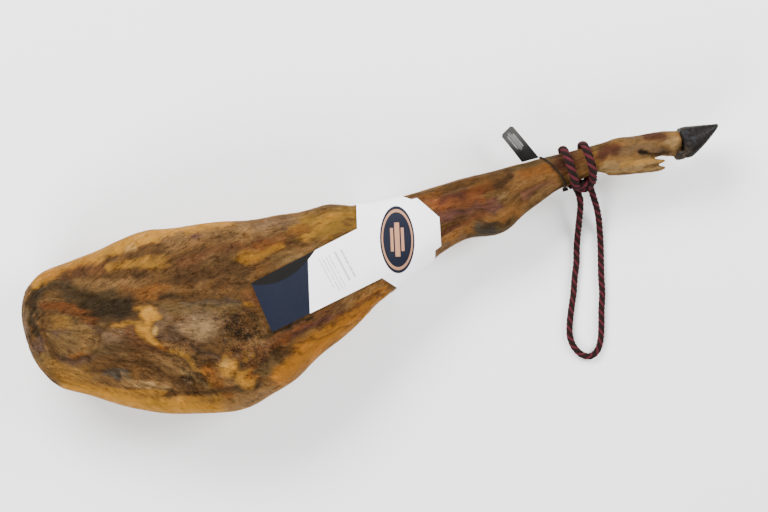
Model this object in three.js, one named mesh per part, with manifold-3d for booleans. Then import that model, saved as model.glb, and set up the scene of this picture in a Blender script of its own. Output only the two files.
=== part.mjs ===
// A whole dry-cured ham on the bone, lying on its fat side with the cut face up.
// Millimetres, +Z up. While it is shaped, u runs along the leg from the rounded butt to the tip of
// the hoof, v runs across it towards the shin, and z is the height over the table.
import * as THREE from "three";
import { mergeVertices } from "three/addons/utils/BufferGeometryUtils.js";
import Module from "manifold-3d";

const wasm = await Module();
wasm.setup();

// Driving sizes
const LEG_END = 775.5;
const BUTT_START = -4;
const BUTT_ROUND = 60;
const BUTT_BLUNTNESS = 2.4;
const BUTT_FLATTENING = 0.8;
const TOUCH_GAP = 0.35;
const SHOWN_SEGMENTS = 24;
const UNDER_SEGMENTS = 12;
const ORIGIN = new THREE.Vector3(409, -51.5, 0);

// Sections along the leg: the two silhouette edges in v, then the top and the underside in z.
// Where the underside is below zero the fat is pressed flat on the table.
const SECTIONS = [
  { u: -4, shin: 49, rear: -93, top: 106, under: 14 },
  { u: 24, shin: 49.2, rear: -98.8, top: 112, under: 10 },
  { u: 40, shin: 48.3, rear: -100.5, top: 115, under: 8 },
  { u: 56, shin: 47.5, rear: -108.5, top: 118, under: 5 },
  { u: 80, shin: 50, rear: -125, top: 121, under: 1.5 },
  { u: 100, shin: 52, rear: -136, top: 124, under: -1 },
  { u: 130, shin: 57.5, rear: -149.5, top: 128, under: -2.5 },
  { u: 160, shin: 60, rear: -158, top: 131, under: -3 },
  { u: 190, shin: 54, rear: -165, top: 133, under: -3.5 },
  { u: 220, shin: 50.5, rear: -167.5, top: 133, under: -3.5 },
  { u: 250, shin: 45.5, rear: -159.5, top: 131, under: -3.5 },
  { u: 280, shin: 38.5, rear: -151, top: 127, under: -3 },
  { u: 310, shin: 36.5, rear: -133.5, top: 121, under: -2.5 },
  { u: 340, shin: 32.5, rear: -121, top: 114, under: -1 },
  { u: 370, shin: 33.5, rear: -107, top: 106, under: 2 },
  { u: 385, shin: 28, rear: -97.5, top: 101, under: 4 },
  { u: 400, shin: 22.5, rear: -89, top: 97, under: 6 },
  { u: 430, shin: 19, rear: -76, top: 90, under: 11 },
  { u: 460, shin: 18.5, rear: -64, top: 84, under: 15 },
  { u: 490, shin: 19, rear: -53.5, top: 79, under: 19 },
  { u: 512, shin: 20, rear: -49, top: 77, under: 21 },
  { u: 530, shin: 20, rear: -52, top: 77, under: 21 },
  { u: 546, shin: 19.5, rear: -54, top: 77, under: 21 },
  { u: 562, shin: 19, rear: -50.5, top: 75, under: 22 },
  { u: 580, shin: 19, rear: -40, top: 72, under: 24 },
  { u: 602, shin: 18.5, rear: -31.5, top: 69, under: 27 },
  { u: 625, shin: 18, rear: -23, top: 66, under: 29 },
  { u: 650, shin: 17, rear: -19.5, top: 63, under: 31 },
  { u: 674, shin: 16.2, rear: -15, top: 61, under: 33 },
  { u: 690, shin: 16.5, rear: -19, top: 63, under: 31 },
  { u: 706, shin: 17.8, rear: -22, top: 66, under: 29 },
  { u: 722, shin: 15, rear: -20, top: 66, under: 28 },
  { u: 740, shin: 13.6, rear: -17.5, top: 65, under: 29 },
  { u: 752, shin: 12, rear: -17, top: 65, under: 28 },
  { u: 762, shin: 10.5, rear: -20, top: 67, under: 27 },
  { u: 768, shin: 8.5, rear: -15.5, top: 67, under: 27 },
  { u: 776, shin: 7.2, rear: -14.5, top: 66, under: 27 },
];
const WIDEST_AT = 0.42;
const SHOWN_SQUARENESS = 2.5;
const UNDER_SQUARENESS = 2.25;

// Rounded swellings and hollows of the shown face. Sizes are the half lengths along their own
// axis and across it, and turn is in degrees from the leg's axis.
const MOUNDS = [
  { name: "hip disc", u: 57, v: -32, along: 25, across: 25, turn: 0, height: 4 },
  { name: "gristle knob", u: 147, v: -33, along: 9, across: 10, turn: 0, height: 5 },
  { name: "gristle foot", u: 147, v: -60, along: 12, across: 7, turn: -65, height: 3 },
  { name: "pale muscle", u: 198, v: -66, along: 25, across: 17, turn: -15, height: 3 },
  { name: "ragged hollow", u: 238, v: -72, along: 22, across: 24, turn: 0, height: -6 },
  { name: "near gristle lump", u: 220, v: -113, along: 10, across: 9, turn: 0, height: 3 },
  { name: "far gristle lump", u: 232, v: -133, along: 9, across: 12, turn: 0, height: 3 },
  { name: "dark pit", u: 186, v: -122, along: 9, across: 7, turn: 0, height: -4 },
  { name: "shin muscle", u: 165, v: 26, along: 50, across: 11, turn: -4, height: 3 },
  { name: "stifle knob", u: 372, v: 28, along: 12, across: 7, turn: 0, height: 4 },
  { name: "hock point", u: 540, v: -42, along: 22, across: 12, turn: 8, height: 4 },
  { name: "ankle bone", u: 590, v: -4, along: 22, across: 9, turn: -14, height: 3 },
  { name: "fetlock", u: 705, v: 4, along: 14, across: 10, turn: 0, height: 2 },
];

// Folds and seams of the shown face: a line of [u, v] points with a half width and a height.
const FOLDS = [
  { name: "meat trough", half: 12, height: -8, line: [[62, 14], [84, -4], [108, -19], [130, -20]] },
  { name: "gristle ridge", half: 5, height: 4, line: [[106, -36], [126, -42], [138, -50], [150, -72]] },
  { name: "tendon ridge", half: 5, height: 3, line: [[156, -78], [172, -92], [184, -108], [200, -128]] },
  { name: "muscle seam", half: 5, height: -3, line: [[152, -52], [176, -74], [190, -92], [210, -112]] },
  { name: "upper butt seam", half: 4, height: -3, line: [[34, 28], [18, 8], [13, -12], [14, -32]] },
  { name: "lower butt seam", half: 4, height: -3, line: [[18, -44], [24, -54], [42, -68]] },
  { name: "butt fat border", half: 9, height: 3, line: [[60, -102], [110, -130], [170, -150]] },
  { name: "rear fat border", half: 9, height: 3, line: [[184, -152], [235, -156], [300, -125], [360, -102]] },
  { name: "near border seam", half: 6, height: -4, line: [[66, -80], [100, -92], [128, -104], [158, -124]] },
  { name: "far border seam", half: 6, height: -4, line: [[168, -128], [200, -140], [260, -126]] },
  { name: "shin seam", half: 6, height: -3, line: [[96, 14], [150, 12], [190, 10], [228, 18]] },
  { name: "flank seam", half: 6, height: -3, line: [[180, -18], [220, -12], [262, -4]] },
  { name: "rear ridge", half: 6, height: 4, line: [[256, -116], [300, -98], [340, -91], [374, -86]] },
  { name: "tendon groove", half: 5, height: -3, line: [[492, 8], [530, 10], [566, 3]] },
  { name: "shank groove", half: 5, height: -2.5, line: [[486, -34], [520, -27], [556, -22]] },
];
const RELIEF_FULL_AT = 0.625;
const HIP_RING = { u: 57, v: -32, radius: 32, half: 3.5, height: -4 };

// Label card: its outline from above, the lower strip that passes under the shank, and the
// stretch of the leg that it lies on.
const CARD = 0.85;
const LABEL_STRETCH = [235, 505];
const LABEL_TOP = [
  [401, 40], [451, 40], [452, 18], [460.5, 11.7], [467.4, 11.4], [485.4, -16.6], [479, -48.3],
  [471.3, -51.1], [468.3, -62], [468.3, -100], [418, -100], [418, -80], [405, -65],
  [272.6, -89.6], [265, -31.4], [393, -4.3], [399.3, 22.9],
];
const LABEL_UNDER = [[399.5, 40], [451, 40], [468.3, -100], [418, -100]];

// Seal: a thin strap slanted round the ankle, bowed towards the foot, with a flat flag.
const STRAP = { radius: 1.2, foot: 634.3, footV: -22, bow: 0.0113 };
const FLAG = { thick: 1, z: 41.5, lift: 4.5 };
const FLAG_OUTLINE = [[595.1, 18.8], [579.1, 55.4], [595.3, 64.6], [615.6, 18.8]];
const LOCK = { length: 6, width: 4, height: 4.5, lift: 1, angle: 183 };

// Rope: [u, v, z] points of its middle. The hitch goes out of the free loop, under the shank, over
// it, across the bight on the rear side and back; the free loop lies on the table.
const ROPE = 3.9;
const ROPE_SIDES = 10;
const HITCH_STEPS = 96;
const HITCH_ROUTE = [
  [649.8, -38.8, 26.6], [649.4, -29, 27], [646.5, -10.3, 27], [645, 4.6, 26.4], [644, 17.6, 32.6],
  [643.3, 21.9, 44.4], [643.8, 18.2, 60.1], [644.6, 4.7, 67.9], [645.3, -10.5, 67.2],
  [645.8, -22, 58.5], [648.4, -26, 46], [653.6, -27.8, 38.9], [660.4, -28, 38.9],
  [665.8, -25.6, 46], [668, -17.8, 57.3], [668.6, -7.6, 65], [668.2, 5.8, 65.5],
  [667.4, 17.7, 58.6], [666.4, 21, 44.7], [666, 17.2, 34], [665.2, 5.6, 28.3],
  [664.8, -7.9, 28.8], [664.9, -29, 27], [665.5, -38.8, 26.6],
];
const LOOP_STEPS = 78;
const LOOP_ROUTE = [
  [649.6, -41, 26.4], [648.2, -48, 24], [645.4, -57, 19.2], [641.4, -69, 11.8], [637.4, -81, 6],
  [633.4, -92.5, 4.1], [628.6, -108.7, 4.1], [621.6, -126.1, 4.1], [615.2, -143.8, 4.1],
  [607.6, -161.2, 4.1], [600.9, -178.6, 4.1], [597.9, -191.5, 4.1], [599.6, -204.5, 4.1],
  [606.4, -215.4, 4.1], [615.6, -219.2, 4.1], [624.8, -214.6, 4.1], [631.6, -203.5, 4.1],
  [636.4, -189.5, 4.1], [641.8, -170.6, 4.1], [647.6, -152.9, 4.1], [651.6, -134.4, 4.1],
  [656.2, -116.2, 4.1], [660.8, -98.4, 4.1], [664.6, -80, 6.3], [666.3, -66, 13.6],
  [666.4, -53, 21.6], [665.6, -41, 26.4],
];

// Claws
const CLAW_SECTIONS = [
  { u: 776, shin: 8.4, rear: -27, half: 10.8 },
  { u: 781, shin: 9.2, rear: -27.7, half: 11.3 },
  { u: 790, shin: 7.6, rear: -23.5, half: 11 },
  { u: 800, shin: 5.8, rear: -17.5, half: 9.6 },
  { u: 810, shin: 3.9, rear: -10.5, half: 7.2 },
  { u: 817, shin: 2.6, rear: -5.2, half: 4.4 },
  { u: 820.5, shin: 1.8, rear: -1.8, half: 1.6 },
];
const CLAW_SQUARENESS = 2.4;
const CLAW_MIDDLE = 47;
const CLAW_SPREAD = 11.7;
const HEEL = { u: 771.5, v: -21.8, length: 7.6, width: 5.4, half: 8.6 };

const clamp01 = (x) => Math.min(1, Math.max(0, x));
const smooth = (x) => clamp01(x) ** 2 * (3 - 2 * clamp01(x));

// A smooth value between the rows of a table, by cubic Hermite pieces.
function between(rows, key, u) {
  const last = rows.length - 1;
  let i = 0;
  while (i < last - 1 && u > rows[i + 1].u) i += 1;
  const [a, b] = [rows[i], rows[i + 1]];
  const slope = (j) => {
    const [p, n] = [rows[Math.max(0, j - 1)], rows[Math.min(last, j + 1)]];
    return (n[key] - p[key]) / (n.u - p.u);
  };
  const span = b.u - a.u;
  const t = clamp01((u - a.u) / span);
  return (
    (2 * t ** 3 - 3 * t ** 2 + 1) * a[key] +
    (t ** 3 - 2 * t ** 2 + t) * span * slope(i) +
    (3 * t ** 2 - 2 * t ** 3) * b[key] +
    (t ** 3 - t ** 2) * span * slope(i + 1)
  );
}

// The leg's section at u: its middle, half width, widest level, and the rise and drop from there.
function section(u) {
  const shin = between(SECTIONS, "shin", u);
  const rear = between(SECTIONS, "rear", u);
  const top = between(SECTIONS, "top", u);
  const under = between(SECTIONS, "under", u);
  const inside = clamp01((BUTT_START + BUTT_ROUND - u) / BUTT_ROUND);
  const round = Math.max(1e-4, 1 - inside ** BUTT_BLUNTNESS) ** (1 / BUTT_BLUNTNESS);
  const level = under + WIDEST_AT * (top - under);
  return {
    middle: (shin + rear) / 2,
    half: (round * (shin - rear)) / 2,
    level,
    rise: (top - level) * round ** BUTT_FLATTENING,
    drop: (level - under) * round ** BUTT_FLATTENING,
  };
}

function distanceToLine(u, v, line) {
  let best = Infinity;
  for (let i = 0; i + 1 < line.length; i += 1) {
    const [[au, av], [bu, bv]] = [line[i], line[i + 1]];
    const [du, dv] = [bu - au, bv - av];
    const t = clamp01(((u - au) * du + (v - av) * dv) / (du * du + dv * dv));
    best = Math.min(best, Math.hypot(u - au - t * du, v - av - t * dv));
  }
  return best;
}

// Height of the shown face over the plain section.
function relief(u, v) {
  let z = 0;
  for (const m of MOUNDS) {
    const turn = THREE.MathUtils.degToRad(m.turn);
    const along = (u - m.u) * Math.cos(turn) + (v - m.v) * Math.sin(turn);
    const across = (v - m.v) * Math.cos(turn) - (u - m.u) * Math.sin(turn);
    z += m.height * Math.exp(-((along / m.along) ** 2) - (across / m.across) ** 2);
  }
  for (const f of FOLDS) z += f.height * Math.exp(-((distanceToLine(u, v, f.line) / f.half) ** 2));
  const fromRing = Math.hypot(u - HIP_RING.u, v - HIP_RING.v) - HIP_RING.radius;
  return z + HIP_RING.height * Math.exp(-((fromRing / HIP_RING.half) ** 2));
}

// A point of the leg's skin, swelled by offset. angle is 0 at the shin and a quarter turn on top.
function legPoint(u, angle, offset = 0, carved = true) {
  const s = section(u);
  const [c, d] = [Math.cos(angle), Math.sin(angle)];
  const n = d > 0 ? SHOWN_SQUARENESS : UNDER_SQUARENESS;
  const r = (Math.abs(c) ** n + Math.abs(d) ** n) ** (-1 / n);
  const v = s.middle + (s.half + offset) * c * r;
  let z = s.level + ((d > 0 ? s.rise : s.drop) + offset) * d * r;
  if (carved && d > 0) z += relief(u, v) * smooth(d / RELIEF_FULL_AT);
  return new THREE.Vector3(u, v, carved ? Math.max(0, z) : z);
}

function turnAngles() {
  const angles = [];
  for (let i = 0; i < SHOWN_SEGMENTS; i += 1) angles.push((Math.PI * i) / SHOWN_SEGMENTS);
  for (let i = 0; i < UNDER_SEGMENTS; i += 1) angles.push(Math.PI * (1 + i / UNDER_SEGMENTS));
  return angles;
}

// A closed skin over rings of equal count: fans close its ends, or it joins end to end.
function skin(rings, joined = false) {
  const count = rings[0].length;
  const points = rings.flat();
  const faces = [];
  const spans = joined ? rings.length : rings.length - 1;
  for (let i = 0; i < spans; i += 1) {
    for (let j = 0; j < count; j += 1) {
      const [p, q] = [i * count, ((i + 1) % rings.length) * count];
      const k = (j + 1) % count;
      faces.push(p + j, q + k, q + j, p + j, p + k, q + k);
    }
  }
  if (!joined) {
    const lastStart = (rings.length - 1) * count;
    for (const [start, flip] of [[0, false], [lastStart, true]]) {
      const ring = rings[start / count];
      const hub = points.length;
      points.push(ring.reduce((sum, p) => sum.add(p), new THREE.Vector3()).divideScalar(count));
      for (let j = 0; j < count; j += 1) {
        const [a, b] = [start + j, start + ((j + 1) % count)];
        faces.push(...(flip ? [hub, a, b] : [hub, b, a]));
      }
    }
  }
  const geometry = new THREE.BufferGeometry().setFromPoints(points);
  geometry.setIndex(faces);
  return geometry;
}

function solid(geometry) {
  const bare = geometry.clone();
  for (const name of Object.keys(bare.attributes)) if (name !== "position") bare.deleteAttribute(name);
  const merged = mergeVertices(bare, 1e-3);
  return new wasm.Manifold(
    new wasm.Mesh({
      numProp: 3,
      vertProperties: merged.attributes.position.array,
      triVerts: new Uint32Array(merged.index.array),
    }),
  );
}

function geometryOf(manifold) {
  const mesh = manifold.getMesh();
  const geometry = new THREE.BufferGeometry();
  geometry.setAttribute("position", new THREE.BufferAttribute(mesh.vertProperties, 3));
  geometry.setIndex(new THREE.BufferAttribute(mesh.triVerts, 1));
  return geometry;
}

function prism(outline, low, high) {
  const shape = new THREE.Shape(outline.map(([u, v]) => new THREE.Vector2(u, v)));
  const geometry = new THREE.ExtrudeGeometry(shape, { depth: high - low, bevelEnabled: false });
  return solid(geometry.translate(0, 0, low));
}

// Stations closer together on the rounded butt and along the foot.
function legStations() {
  const stations = [];
  const [buttRings, bodyStep, shankStart, shankStep] = [7, 9, 486, 6.5];
  for (let i = 0; i < buttRings; i += 1) {
    const a = ((i + 0.35) / buttRings) * (Math.PI / 2);
    stations.push(BUTT_START + BUTT_ROUND * (1 - Math.cos(a)));
  }
  for (let u = BUTT_START + BUTT_ROUND; u < shankStart; u += bodyStep) stations.push(u);
  for (let u = shankStart; u < LEG_END - shankStep / 2; u += shankStep) stations.push(u);
  stations.push(LEG_END);
  return stations;
}

// A blunt peg from base to tip, for the dewclaws.
function peg(base, tip, baseRadius, tipRadius) {
  const axis = tip.clone().sub(base);
  const [length, arcSteps] = [axis.length(), 4];
  const profile = [new THREE.Vector2(0, 0), new THREE.Vector2(baseRadius, 0)];
  for (let i = 0; i < arcSteps; i += 1) {
    const a = (i / arcSteps) * (Math.PI / 2);
    profile.push(
      new THREE.Vector2(tipRadius * Math.cos(a), length - tipRadius + tipRadius * Math.sin(a)),
    );
  }
  profile.push(new THREE.Vector2(0, length));
  const geometry = new THREE.LatheGeometry(profile, 12);
  const turn = new THREE.Quaternion().setFromUnitVectors(new THREE.Vector3(0, 1, 0), axis.normalize());
  return solid(geometry.applyQuaternion(turn).translate(base.x, base.y, base.z));
}

function ham() {
  const angles = turnAngles();
  const leg = solid(skin(legStations().map((u) => angles.map((a) => legPoint(u, a)))));
  const upperDewclaw = peg(new THREE.Vector3(716, -14, 56), new THREE.Vector3(749, -23, 58), 7, 3.2);
  const lowerDewclaw = peg(new THREE.Vector3(698, -18, 42), new THREE.Vector3(748.5, -29.6, 38), 7.5, 3.8);
  return geometryOf(leg.add(upperDewclaw).add(lowerDewclaw));
}

function claw(side, slipU, slipV) {
  const middle = CLAW_MIDDLE + side * CLAW_SPREAD;
  const [perSpan, sides] = [2, 18];
  const rings = [];
  const spans = CLAW_SECTIONS.length - 1;
  for (let i = 0; i <= spans * perSpan; i += 1) {
    const row = Math.min(Math.floor(i / perSpan), spans - 1);
    const [a, b] = [CLAW_SECTIONS[row].u, CLAW_SECTIONS[row + 1].u];
    const u = a + (b - a) * (i / perSpan - row);
    const [shin, rear, half] = ["shin", "rear", "half"].map((key) => between(CLAW_SECTIONS, key, u));
    const ring = [];
    for (let j = 0; j < sides; j += 1) {
      const angle = (2 * Math.PI * j) / sides;
      const [c, d] = [Math.cos(angle), Math.sin(angle)];
      const r = (Math.abs(c) ** CLAW_SQUARENESS + Math.abs(d) ** CLAW_SQUARENESS) ** (-1 / CLAW_SQUARENESS);
      const v = (shin + rear) / 2 + ((shin - rear) / 2) * c * r;
      ring.push(new THREE.Vector3(u + slipU, v + slipV, middle + half * d * r));
    }
    rings.push(ring);
  }
  const heel = new THREE.SphereGeometry(1, 14, 10);
  heel.scale(HEEL.length, HEEL.width, HEEL.half);
  heel.translate(HEEL.u + slipU, HEEL.v + slipV, middle);
  return geometryOf(solid(skin(rings)).add(solid(heel)));
}

// The card follows the plain leg, so it is the shell between two swelled legs, cut to its outline.
function label() {
  const angles = turnAngles();
  const [start, end] = LABEL_STRETCH;
  const stations = legStations().filter((u) => u > start && u < end);
  const swelled = (offset) =>
    solid(skin(stations.map((u) => angles.map((a) => legPoint(u, a, offset, false)))));
  const shell = swelled(TOUCH_GAP + CARD).subtract(swelled(TOUCH_GAP));
  const [below, belt, above] = [-10, 46, 160];
  const outline = prism(LABEL_TOP, belt, above).add(prism(LABEL_UNDER, below, belt));
  return geometryOf(shell.intersect(outline));
}

// The angle's point on the strap's line round the ankle, offset from the skin.
function strapPoint(angle, offset) {
  let point = legPoint(STRAP.foot, angle, offset);
  for (let i = 0; i < 4; i += 1) {
    point = legPoint(STRAP.foot - STRAP.bow * (point.y - STRAP.footV) ** 2, angle, offset);
  }
  return point;
}

function seal() {
  const [turns, sides] = [40, 8];
  const clear = STRAP.radius + TOUCH_GAP;
  const line = Array.from({ length: turns }, (_, i) => strapPoint((2 * Math.PI * i) / turns, clear));
  const across = new THREE.Vector3(1, 0, 0);
  const rings = line.map((p, i) => {
    const along = line[(i + 1) % turns].clone().sub(line[(i + turns - 1) % turns]).normalize();
    const side = across.clone().addScaledVector(along, -across.dot(along)).normalize();
    const out = along.clone().cross(side);
    return Array.from({ length: sides }, (_, j) => {
      const a = (2 * Math.PI * j) / sides;
      return p.clone()
        .addScaledVector(side, STRAP.radius * Math.cos(a))
        .addScaledVector(out, STRAP.radius * Math.sin(a));
    });
  });
  const strap = solid(skin(rings, true));
  const shape = new THREE.Shape(FLAG_OUTLINE.map(([u, v]) => new THREE.Vector2(u, v)));
  const flag = new THREE.ExtrudeGeometry(shape, { depth: FLAG.thick, bevelEnabled: false });
  const [foot, tip] = [FLAG_OUTLINE[0][1], FLAG_OUTLINE[2][1]];
  const position = flag.attributes.position;
  for (let i = 0; i < position.count; i += 1) {
    const rise = (FLAG.lift * (position.getY(i) - foot)) / (tip - foot);
    position.setZ(i, position.getZ(i) + FLAG.z + rise);
  }
  const angle = THREE.MathUtils.degToRad(LOCK.angle);
  const at = strapPoint(angle, TOUCH_GAP + LOCK.height / 2 + LOCK.lift);
  const lock = new THREE.BoxGeometry(LOCK.width, LOCK.height, LOCK.length);
  lock.translate(at.x, at.y, at.z);
  return geometryOf(strap.add(solid(flag)).add(solid(lock)));
}

function rope(route, steps) {
  const points = route.map((point) => new THREE.Vector3(...point));
  const extrudePath = new THREE.CatmullRomCurve3(points, false, "centripetal");
  const round = new THREE.Shape().absarc(0, 0, ROPE, 0, 2 * Math.PI);
  const section = new THREE.Shape(round.getPoints(ROPE_SIDES).slice(0, ROPE_SIDES));
  return new THREE.ExtrudeGeometry(section, { steps, extrudePath, bevelEnabled: false });
}

const looks = (color, roughness) => new THREE.MeshStandardMaterial({ color, roughness, metalness: 0 });
const CURED_MEAT = looks(0x9a6a2e, 0.55);
const HORN = looks(0x2b2724, 0.4);
const PAPER = looks(0xece8ee, 0.6);
const BLACK_PLASTIC = looks(0x1c1b1d, 0.35);
const TWISTED_ROPE = looks(0x4a2a2a, 0.85);

const pieces = [
  ["ham", ham(), CURED_MEAT],
  ["claw_upper", claw(1, 0, 0), HORN],
  ["claw_lower", claw(-1, 1.5, 0.6), HORN],
  ["label", label(), PAPER],
  ["seal", seal(), BLACK_PLASTIC],
  ["rope_hitch", rope(HITCH_ROUTE, HITCH_STEPS), TWISTED_ROPE],
  ["rope_loop", rope(LOOP_ROUTE, LOOP_STEPS), TWISTED_ROPE],
];

const curedHam = new THREE.Group();
for (const [name, geometry, material] of pieces) {
  const mesh = new THREE.Mesh(geometry, material);
  mesh.name = name;
  curedHam.add(mesh);
}
curedHam.position.copy(ORIGIN).negate();

export default curedHam;
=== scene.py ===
"""The looks of a whole dry-cured ham on the bone: meat, rind, hoof, label, seal and twisted rope.

Shapes are worked out in the leg's own axes, in millimetres: u along the leg from the butt to the
hoof, v across it towards the shin, z up. to_frame turns them into metres in the model's frame.
"""
import math

import bmesh
import bpy
import numpy as np
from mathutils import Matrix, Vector
from mathutils.bvhtree import BVHTree


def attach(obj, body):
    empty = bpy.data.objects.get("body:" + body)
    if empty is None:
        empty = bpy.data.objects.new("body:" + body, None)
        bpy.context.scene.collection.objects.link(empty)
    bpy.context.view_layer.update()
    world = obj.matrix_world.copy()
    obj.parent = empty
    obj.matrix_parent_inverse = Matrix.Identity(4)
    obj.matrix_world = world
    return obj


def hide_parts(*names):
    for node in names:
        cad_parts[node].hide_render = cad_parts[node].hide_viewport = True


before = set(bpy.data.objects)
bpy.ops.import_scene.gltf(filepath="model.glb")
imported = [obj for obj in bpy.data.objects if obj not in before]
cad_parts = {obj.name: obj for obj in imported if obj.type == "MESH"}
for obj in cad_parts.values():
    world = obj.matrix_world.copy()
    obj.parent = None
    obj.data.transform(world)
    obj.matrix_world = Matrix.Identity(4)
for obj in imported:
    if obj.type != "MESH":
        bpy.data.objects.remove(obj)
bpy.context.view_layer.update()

MM = 0.001
ORIGIN = np.array([409.0, -51.5, 0.0])
BODY = "root"

# Camera and light
CAMERA_PLACE = (0.0047, 0.0097, 2.1242)
CAMERA_TURN = -15.54
CAMERA_LENS = 85
SENSOR_WIDTH = 36
FLOOR_MIDDLE = np.array([409.0, -51.0, 0.0])
FLOOR_HALF = 16000.0

WORLD_LIGHT = 0.4
LIGHTS = [
    ("key_light", (-0.6, 1.6, 1.5), (1.8, 0.8), 125),
    ("side_light", (1.8, 0.2, 1.3), (0.8, 1.4), 75),
    ("fill_light", (-1.3, -1.4, 1.4), (1.4, 1.0), 80),
]

# Rope: middle line of the hitch and of the free loop, as in the solids
ROPE_PITCH = 22.0
ROPE_STEP = 0.75
STRAND_STEPS = 10
SHANK_MIDDLE = (-1.0, 47.0)
WRAP_WIDER = 0.22
BIGHT_WIDER = 0.35
WRAP_THINNER = 0.15
HITCH_ROUTE = [
    (649.8, -38.8, 26.6), (649.4, -29, 27), (646.5, -10.3, 27), (645, 4.6, 26.4), (644, 17.6, 32.6),
    (643.3, 21.9, 44.4), (643.8, 18.2, 60.1), (644.6, 4.7, 67.9), (645.3, -10.5, 67.2),
    (645.8, -22, 58.5), (648.4, -26, 46), (653.6, -27.8, 38.9), (660.4, -28, 38.9),
    (665.8, -25.6, 46), (668, -17.8, 57.3), (668.6, -7.6, 65), (668.2, 5.8, 65.5),
    (667.4, 17.7, 58.6), (666.4, 21, 44.7), (666, 17.2, 34), (665.2, 5.6, 28.3),
    (664.8, -7.9, 28.8), (664.9, -29, 27), (665.5, -38.8, 26.6),
]
LOOP_ROUTE = [
    (649.6, -41, 26.4), (648.2, -48, 24), (645.4, -57, 19.2), (641.4, -69, 11.8), (637.4, -81, 6),
    (633.4, -92.5, 4.1), (628.6, -108.7, 4.1), (621.6, -126.1, 4.1), (615.2, -143.8, 4.1),
    (607.6, -161.2, 4.1), (600.9, -178.6, 4.1), (597.9, -191.5, 4.1), (599.6, -204.5, 4.1),
    (606.4, -215.4, 4.1), (615.6, -219.2, 4.1), (624.8, -214.6, 4.1), (631.6, -203.5, 4.1),
    (636.4, -189.5, 4.1), (641.8, -170.6, 4.1), (647.6, -152.9, 4.1), (651.6, -134.4, 4.1),
    (656.2, -116.2, 4.1), (660.8, -98.4, 4.1), (664.6, -80, 6.3), (666.3, -66, 13.6),
    (666.4, -53, 21.6), (665.6, -41, 26.4),
]

# Second turn of rope, between the bight and the shank
BAND_ROUTE = [
    (640.5, -8, 27), (640.5, -16, 31.5), (643.5, -21.8, 38), (649.5, -22.8, 44), (656, -23, 46),
    (662.5, -22.6, 44), (668, -21, 38), (670.5, -15.5, 31.5), (670, -8, 27), (666, -4, 22.5), (655, -3, 21.5),
    (645, -4, 22.5),
]

# Label card's outline from above, as in the solids, and where it passes under the leg
LABEL_TOP = [
    (401, 40), (451, 40), (452, 18), (460.5, 11.7), (467.4, 11.4), (485.4, -16.6), (479, -48.3),
    (471.3, -51.1), (468.3, -62), (468.3, -100), (418, -100), (418, -80), (405, -65),
    (272.6, -89.6), (265, -31.4), (393, -4.3), (399.3, 22.9),
]
LABEL_UNDER = [(397.5, 40), (447.8, 40), (475.9, -100), (412.5, -100)]
BAND_START = (394, 402)
BAND_END = (466, 474)


# Small helpers: units, meshes, attributes, ramps

def to_frame(points):
    return (np.asarray(points, float) - ORIGIN) * MM


def to_leg(points):
    return np.asarray(points, float) / MM + ORIGIN


def unit(vectors):
    return vectors / np.linalg.norm(vectors, axis=-1, keepdims=True)


def run_length(points):
    """Distance along a line of points, from 0 at the first."""
    steps = np.linalg.norm(np.diff(points, axis=0), axis=1)
    return np.concatenate([[0], np.cumsum(steps)])


def points_at(distances, length, points):
    """The points at some distances along a line of points whose own distances are given."""
    return np.stack([np.interp(distances, length, column) for column in points.T], axis=1)


def evened(line, axis):
    """A closed line with each point drawn a little towards its neighbours."""
    return (np.roll(line, 1, axis=axis) + 2 * line + np.roll(line, -1, axis=axis)) / 4


def placed(name, data):
    """A new object in the scene for a mesh, light or camera."""
    made = bpy.data.objects.new(name, data)
    bpy.context.scene.collection.objects.link(made)
    return made


def mesh_object(name, points, faces):
    """A smooth-shaded object from points in the leg's axes."""
    mesh = bpy.data.meshes.new(name)
    mesh.from_pydata(to_frame(points).tolist(), [], [list(map(int, f)) for f in faces])
    mesh.update()
    mesh.shade_smooth()
    return placed(name, mesh)


def applied(piece):
    """Gives a piece the mesh that its modifiers make, and removes them."""
    made = bpy.data.meshes.new_from_object(piece.evaluated_get(bpy.context.evaluated_depsgraph_get()))
    piece.modifiers.clear()
    piece.data = made
    made.name = piece.name
    made.shade_smooth()


def ring_faces(rings, sides, closed=False):
    """Faces between rings of points, and from the last ring to the first if closed."""
    faces = []
    for i in range(rings if closed else rings - 1):
        a, b = i * sides, (i + 1) % rings * sides
        for j in range(sides):
            k = (j + 1) % sides
            faces.append((a + j, a + k, b + k, b + j))
    return faces


def capped_faces(rings, sides):
    """Faces of a tube whose two ends are each closed by one more point, after those of the rings."""
    first, last = rings * sides, (rings - 1) * sides
    faces = ring_faces(rings, sides)
    for j in range(sides):
        k = (j + 1) % sides
        faces.append((first, k, j))
        faces.append((first + 1, last + j, last + k))
    return faces


def points_of(mesh, what="co"):
    values = np.zeros(len(mesh.vertices) * 3, np.float32)
    mesh.vertices.foreach_get(what, values)
    return values.reshape(-1, 3).astype(float)


def set_points(mesh, points):
    mesh.vertices.foreach_set("co", to_frame(points).astype(np.float32).ravel())
    mesh.update()


def put(mesh, name, values):
    """Stores a number, vector or colour for each vertex."""
    values = np.asarray(values, np.float32)
    if values.ndim == 1:
        mesh.attributes.new(name, "FLOAT", "POINT").data.foreach_set("value", values)
    elif values.shape[1] == 3:
        mesh.attributes.new(name, "FLOAT_VECTOR", "POINT").data.foreach_set("vector", values.ravel())
    else:
        mesh.attributes.new(name, "FLOAT_COLOR", "POINT").data.foreach_set("color", values.ravel())


def ramp(x, low, high):
    """A smooth step from 0 at low to 1 at high."""
    t = np.clip((x - low) / (high - low), 0, 1)
    return t * t * (3 - 2 * t)


def fall(x, low, high):
    """A smooth step from 1 at low to 0 at high."""
    return ramp(-x, -high, -low)


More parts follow.
